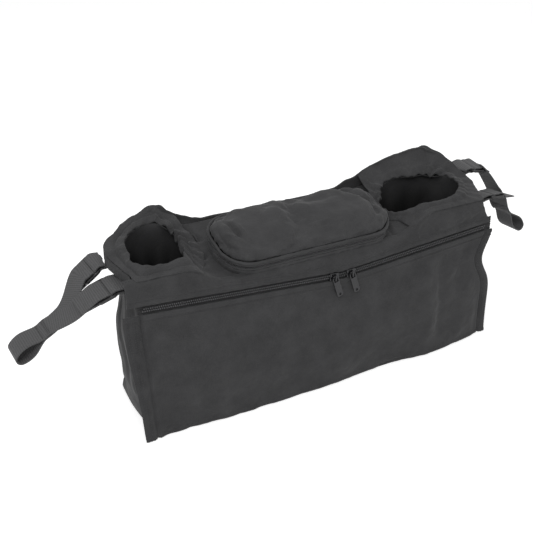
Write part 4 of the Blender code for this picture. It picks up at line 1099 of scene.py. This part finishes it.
def tapePlace(low, high):
    def place(u, v):
        x = mix(pocket["zipEndLeft"] - pocketLook["tapeLeft"], pocket["zipEndRight"] + pocketLook["tapeRight"], u)
        # the tapes meet past the last tooth
        closed = smooth(pocket["zipEndRight"] + 0.001, pocket["zipEndRight"] + 0.005, x)
        edges = [edge * (1.0 - 1.4 * closed) if abs(edge) < 0.001 else edge for edge in (low, high)]
        z = zipZ(x) + mix(edges[0], edges[1], v)
        return (x, frontY(x, z) - cloth["gap"] - cloth["tape"], z)
    return place


def tapeRelief(u, v, point):
    return 0.0003 * math.sin(9 * math.pi * v)


for name, low, high in (
    ("front_zip_upper_tape", cloth["gap"], pocket["zipTapeWidth"]),
    ("front_zip_lower_tape", -pocket["zipTapeWidth"], -cloth["gap"]),
):
    clothPiece(name + "_cloth", 240, 20, tapePlace(low, high), pocketLook["tape"], [name], tapeRelief)

teeth = {"pitch": 0.0021, "length": 0.0019, "radius": 0.0007}


def frontCoil():
    places = []
    start = pocket["zipEndLeft"] - 0.010
    length = pocket["zipEndRight"] + 0.0050 - start
    count = int(length / teeth["pitch"])
    for n in range(count):
        x = start + (n + 0.5) * length / count
        for side in (-1, 1):
            here = x + side * teeth["pitch"] / 4
            along = Vector((1.0, 0.0, (zipZ(here + 0.001) - zipZ(here - 0.001)) / 0.002)).normalized()
            out = Vector((0.0, -1.0, 0.0))
            up = out.cross(along)
            z = zipZ(here)
            centre = Vector((here, frontY(here, z) - pocket["coilDepth"] - 0.0005, z)) + up * side * 0.0012
            places.append(placeAxes(centre, along, up, out))
    form = roundedBar(8, 5, (teeth["radius"], teeth["length"] / 2, teeth["radius"]))
    piece = copyAlong("front_zip_coil_teeth", form, places, nylonCoil)
    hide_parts("front_zip_coil")


frontCoil()
print("pocket made")

# straps

strap = {
    "webWidth": 0.025,
    "webThick": 0.0012,
    "buckleBar": 0.0032,
    "buckleSlot": 0.0046,
    "wrapRadius": 0.0022,
    "wrapSeat": 0.0006,
    "turnSeat": 0.0002,
    "tabStraight": 0.0045,
    "layerOffset": 0.0009,
    "sewnLength": 0.009,
    "loopSwell": 0.0062,
    "loopTipSwell": 0.0048,
    "strapWallDrop": 0.017,
}

route = {
    "leftJoint": (0.0657, -0.011, 0.05),
    "leftTip": (0.0987, -0.011, 0.071),
    "leftFrontWay": (0.0454, -0.017, 0.038),
    "leftBackWay": (0.0436, -0.003, 0.041),
    "leftTails": (0.017, 0.009),
    "rightJoint": (0.0443, -0.012, 0.04),
    "rightTip": (0.0688, -0.014, 0.068),
    "rightBackWay": (0.0405, 0.0, 0.022),
    "rightTails": (0.017, 0.01),
}

webLook = {
    "columns": 10, "steps": 8, "strapFlat": (0.34, 0.025), "tabFlat": (0.036, 0.025),
    "seams": (0.0005, 0.0022, 0.0085),
}
strapStitches = []


def smoothPath(points, steps):
    ends = [2 * points[0] - points[1]] + points + [2 * points[-1] - points[-2]]
    path = []
    for before, start, end, after in zip(ends, ends[1:], ends[2:], ends[3:]):
        length = (end - start).length
        leave = (end - before).normalized() * length
        arrive = (after - start).normalized() * length
        for step in range(steps):
            t = step / steps
            blend = t * t * (3.0 - 2.0 * t)
            pull = leave * t * (1.0 - t) ** 2 - arrive * t * t * (1.0 - t)
            path.append(start.lerp(end, blend) + pull)
    return path + [points[-1]]


def wrapPoints(centre, ahead, normal, sign, count=5):
    points = []
    for step in range(count + 1):
        angle = math.pi * step / count
        outward = sign * strap["wrapRadius"] * math.sin(angle) * ahead
        points.append(centre + outward + strap["wrapRadius"] * math.cos(angle) * normal)
    return points


def ribbonPiece(name, path, across, nodes, adjust=lambda point: point):
    count = len(path) - 1
    lengths = [0.0]
    for before, after in zip(path, path[1:]):
        lengths.append(lengths[-1] + (after - before).length)

    def place(u, v):
        n = round(u * count)
        before, after = path[max(0, n - 1)], path[min(count, n + 1)]
        ahead = (after - before).normalized()
        side = across[n] - ahead * across[n].dot(ahead)
        return adjust(path[n] + side.normalized() * strap["webWidth"] * (v - 0.5))

    piece = gridPiece(name, count, webLook["columns"], place)
    uv = piece.data.uv_layers.active.data
    along, over = piece.data.attributes["alongU"].data, piece.data.attributes["alongV"].data
    for loop in piece.data.loops:
        vertex = loop.vertex_index
        uv[loop.index].uv = (lengths[round(along[vertex].value * count)], over[vertex].value * strap["webWidth"])
    applyModifier(piece, "SOLIDIFY", thickness=strap["webThick"], offset=0.0)
    pickOnly(piece)
    bpy.ops.object.shade_smooth_by_angle(angle=math.radians(50))
    dressPiece(piece, webbing, nodes)
    return piece


class Anchor:
    def __init__(self, name, side, y, z, reach, tabHeading, heading, across):
        self.name = name
        self.side = side
        self.heading = Vector(heading).normalized()
        self.across = (Vector(across) - self.heading * self.heading.dot(Vector(across))).normalized()
        self.normal = self.across.cross(self.heading)
        if self.normal.z < 0:
            self.normal = -self.normal
        self.near = Vector((endX(side, y, z, True), y, z)) + Vector(tabHeading).normalized() * reach
        self.wall = Vector((endX(side, y, z), y, z))

    def at(self, along):
        return self.near + self.heading * along

    def makeTab(self):
        centre = self.at(strap["buckleBar"] - strap["wrapSeat"])
        turn = wrapPoints(centre, self.heading, self.normal, 1)
        straight = self.heading * strap["tabStraight"]
        path = [self.wall + self.normal * strap["wrapRadius"], turn[0] - straight] + turn
        path += [turn[-1] - straight, self.wall - self.normal * strap["wrapRadius"]]
        outward = 1.0 if self.side == "right" else -1.0
        clear = 2 * cloth["gap"] + 0.5 * strap["webThick"]

        def keepOffWall(point):
            reach = endX(self.side, point.y, point.z) + outward * clear
            return Vector((max(outward * point.x, outward * reach) * outward, point.y, point.z))

        dense = smoothPath(path, 4)
        name = f"{self.name}_tab"
        ribbonPiece(name + "_webbing", dense, [self.across] * len(dense), [name], keepOffWall)

    def strapTurn(self):
        centre = self.at(strap["buckleBar"] + strap["buckleSlot"] + strap["turnSeat"])  # round the middle bar
        return wrapPoints(centre, self.heading, self.normal, -1)


def roundBuckle(anchor, tail):  # along the top, round the middle bar and back underneath
    turn = anchor.strapTurn()
    straight = [0.8 * strap["buckleBar"], 3.4 * strap["buckleBar"]]
    points = [turn[0] + anchor.heading * along for along in reversed(straight)] + turn
    points += [turn[-1] + anchor.heading * along for along in straight] + tail
    return [(point, anchor.across) for point in points]


def makeStrap(name, front, back, joint, tip, across, frontWay, backWay, tails):
    ahead = (tip - joint).normalized()
    side = (across - ahead * ahead.dot(across)).normalized()
    normal = side.cross(ahead)
    if normal.z < 0:
        normal = -normal
    upper = normal * strap["layerOffset"]
    stops = roundBuckle(front, tails[0])[::-1]
    stops += [(point, front.across.lerp(side, 0.5)) for point in frontWay]
    stops += [(joint + upper, side), (joint + ahead * strap["sewnLength"] + upper, side)]
    reach = (tip - joint).length
    swell = [(0.62, strap["loopSwell"]), (0.92, strap["loopTipSwell"]), (1.0, 0.0)]
    stops += [(joint + ahead * reach * along + normal * half, side) for along, half in swell]
    stops += [(joint + ahead * reach * along - normal * half, side) for along, half in reversed(swell[:-1])]
    stops += [(joint + ahead * strap["sewnLength"] - upper, side), (joint - upper, side)]
    stops += [(point, back.across.lerp(side, 0.5)) for point in backWay]
    stops += roundBuckle(back, tails[1])
    steps = webLook["steps"]
    path = smoothPath([stop[0] for stop in stops], steps)
    sides = []
    for before, after in zip(stops, stops[1:]):
        sides += [before[1].lerp(after[1], step / steps) for step in range(steps)]
    ribbonPiece(name + "_webbing", path, sides + [stops[-1][1]], [name])
    half = 0.46 * strap["webWidth"]
    for along in webLook["seams"]:  # rows of stitches that close the end loop
        centre = joint + ahead * along + normal * (strap["layerOffset"] + 0.5 * strap["webThick"] + 0.0002)
        strapStitches.extend(stitchLine([centre - side * half, centre + side * half], [normal], 0.0026))


def strapPlace(side, place):
    reach, y, drop = place
    outward = 1.0 if side == "right" else -1.0
    wall = endX(side, y, top["cupDeckZ"] - strap["strapWallDrop"], True)
    return Vector((wall + outward * reach, y, top["cupDeckZ"] - drop))


def makeStraps():
    high = top["cupDeckZ"]
    leftFront = Anchor(
        "left_front", "left", -0.020, high - 0.019, 0.009, (-1, 0, -0.05), (-0.95, 0, -0.30), (0, 1, 0.15))
    leftBack = Anchor("left_back", "left", 0.013, high - 0.009, 0.009, (-1, 0, -0.10), (-0.80, 0, -0.60),
    (0, 1, 0.15))
    rightFront = Anchor(
        "right_front", "right", -0.018, high - 0.019, 0.012, (1, 0, 0.15), (1, 0, -0.10), (0, 0.95, -0.15))
    rightBack = Anchor("right_back", "right", 0.016, high + 0.003, 0.014, (1, 0, 0.20), (1, 0, -0.15), (0, 1, 0.10))
    for anchor in (leftFront, leftBack, rightFront, rightBack):
        anchor.makeTab()

    length = 3 * strap["buckleBar"] + 2 * strap["buckleSlot"]

    def under(anchor, along):
        return anchor.at(length + along) - anchor.normal * strap["wrapRadius"]

    for side, front, back, lean in (("left", leftFront, leftBack, 0.05), ("right", rightFront, rightBack, -0.05)):
        ends = [strapPlace(side, route[side + key]) for key in ("Joint", "Tip")]
        ways = [[strapPlace(side, route[side + key])] if side + key in route else [] for key in ("FrontWay", "BackWay")]
        tails = [[under(anchor, along)] for anchor, along in zip((front, back), route[side + "Tails"])]
        makeStrap(side + "_strap", front, back, *ends, Vector((0, 1, lean)), *ways, tails)


makeStraps()
print("straps made")

# stitches

stitch = {"length": 0.0024, "pitch": 0.0034, "radius": 0.00022, "strapRadius": 0.0004}


def surfacePoint(place, relief, u, v, lift=0.00012):
    # point and outward direction on a finished surface
    step = 0.002
    here = Vector(place(u, v))
    along = Vector(place(min(1.0, u + step), v)) - Vector(place(max(0.0, u - step), v))
    rise = Vector(place(u, min(1.0, v + step))) - Vector(place(u, max(0.0, v - step)))
    out = along.cross(rise).normalized()
    return here + out * (relief(u, v, here) + lift), out


def seamOn(place, relief, track):
    points, normals = [], []
    for u, v in track:
        point, out = surfacePoint(place, relief, u, v)
        points.append(point)
        normals.append(out)
    return stitchLine(points, normals, stitch["pitch"])


def panelTrack(down):  # a line on the pocket panel, a distance below its folded edge
    track = []
    for n in range(161):
        u = mix(0.035, 0.965, n / 160)
        x = panelPlace(u, 1.0)[0]
        full = zipZ(x) - pocket["zipMouth"] - 2 * cloth["gap"]
        track.append((u, 1.0 - down / full))
    return track


places = seamOn(panelPlace, panelRelief, panelTrack(0.0058))
places += seamOn(panelPlace, panelRelief, [(u, 0.030) for u in [mix(0.035, 0.965, n / 160) for n in range(161)]])
across = 2 * pocket["flange"] + 0.41
for inside in (0.0041, 0.0076):
    places += seamOn(panelPlace, panelRelief, [(inside / across, n / 60) for n in range(1, 60)])
    places += seamOn(panelPlace, panelRelief, [(1.0 - inside / across, n / 60) for n in range(1, 60)])
places += seamOn(yokePlace, yokeRelief, [(mix(0.02, 0.98, n / 160), 0.17) for n in range(161)])
for row in range(15):  # dense zigzag tack below the zip's left end
    for column in range(8):
        u = (0.0035 + 0.0021 * column) / across
        v = 1.0 - (0.004 + 0.0024 * row) / (zipZ(-bag["endX"]) - pocket["zipMouth"])
        point, out = surfacePoint(panelPlace, panelRelief, u, v)
        lean = Vector((0.7, 0.0, 0.7 if (row + column) % 2 else -0.7))
        places.append(frameOn(point, lean - out * lean.dot(out), out))
for name, radius, spots, slotName in (
    ("front_stitches", stitch["radius"], places, "cloth"),
    ("strap_stitches", stitch["strapRadius"], strapStitches, "webbing"),
):
    form = roundedBar(6, 4, (stitch["length"] / 2, radius, radius * 0.8))
    copyAlong(name, form, spots, sewingThread)
print("stitches made")

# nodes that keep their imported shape

keptNodes = {
    "plastic": (acetal, ["left_back_buckle", "left_front_buckle", "right_back_buckle", "right_front_buckle"], 0.0007),
    "metal": (blackEnamel, [
        "front_slider_left", "front_slider_right", "lid_slider",
        "front_pull_left", "front_pull_right", "lid_pull"], 0.0002),
    "board": (oxfordCloth, ["bottom_panel"], 0.0006),
}
for material, names, width in keptNodes.values():
    for name in names:
        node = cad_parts[name]
        node.data.materials.clear()
        node.data.materials.append(material)
        weld = node.modifiers.new("Weld", "WELD")
        weld.merge_threshold = 0.00002
        bevel = node.modifiers.new("Soft edges", "BEVEL")
        bevel.width, bevel.segments, bevel.limit_method = width, 2, "ANGLE"
        bevel.angle_limit = math.radians(40)

# floor, light and camera

stage = {"floor": 6.0, "glow": 0.50, "sky": 0.45}


def seenShare(tree):  # 1 for rays that the camera or a glossy surface sends
    path = addNode(tree, "LightPath")
    rays = {0: path.outputs["Is Camera Ray"], 1: path.outputs["Is Glossy Ray"]}
    return addNode(tree, "Math", {"operation": "MAXIMUM"}, rays).outputs[0]


def makeStage():
    deselectAll()
    place = (0.0, 0.0, -0.0005)
    bpy.ops.mesh.primitive_grid_add(x_subdivisions=4, y_subdivisions=4, size=stage["floor"], location=place)
    floor = bpy.context.object
    floor.name = "floor"
    material, tree, shader = startMaterial("white_paper_sweep", {"Base Color": linear("#f4f4f4"), "Roughness": 0.9})
    glow = addNode(tree, "Math", {"operation": "MULTIPLY", 1: stage["glow"]}, {0: seenShare(tree)})
    shader.inputs["Emission Color"].default_value = (1.0, 1.0, 1.0, 1.0)
    tree.links.new(glow.outputs[0], shader.inputs["Emission Strength"])
    floor.data.materials.append(material)

    world = bpy.data.worlds.new("soft studio")
    bpy.context.scene.world = world
    world.use_nodes = True
    sky = world.node_tree
    background = sky.nodes["Background"]
    level = addNode(sky, "MapRange", {"To Min": stage["sky"], "To Max": 1.0}, {"Value": seenShare(sky)})
    background.inputs["Color"].default_value = (1.0, 1.0, 1.0, 1.0)
    sky.links.new(level.outputs[0], background.inputs["Strength"])


def makeLamp(name, place, aim, size, energy):
    lamp = bpy.data.lights.new(name, "AREA")
    lamp.shape, lamp.size, lamp.energy = "DISK", size, energy
    item = bpy.data.objects.new(name, lamp)
    bpy.context.scene.collection.objects.link(item)
    item.location = place
    item.rotation_euler = (Vector(aim) - Vector(place)).to_track_quat("-Z", "Y").to_euler()


def makeCamera():
    turn, tilt, away = math.radians(28.6), math.radians(27.0), 0.913
    target = Vector((-0.0535, 0.0, 0.127))
    camera = bpy.data.cameras.new("photo camera")
    camera.lens, camera.sensor_width = 60.8, 36.0
    camera.clip_start = 0.05
    item = bpy.data.objects.new("photo camera", camera)
    bpy.context.scene.collection.objects.link(item)
    flat = math.cos(tilt)
    item.location = target + away * Vector((-math.sin(turn) * flat, -math.cos(turn) * flat, math.sin(tilt)))
    item.rotation_euler = (target - item.location).to_track_quat("-Z", "Y").to_euler()
    bpy.context.scene.camera = item


makeStage()
makeLamp("key softbox", (-0.9, -1.1, 1.5), (0.0, 0.0, 0.1), 1.0, 19.0)
makeLamp("top softbox", (0.4, 0.3, 1.7), (0.0, 0.0, 0.1), 1.2, 4.0)
makeCamera()
bpy.context.scene.view_settings.view_transform = "Standard"
print("stage made")
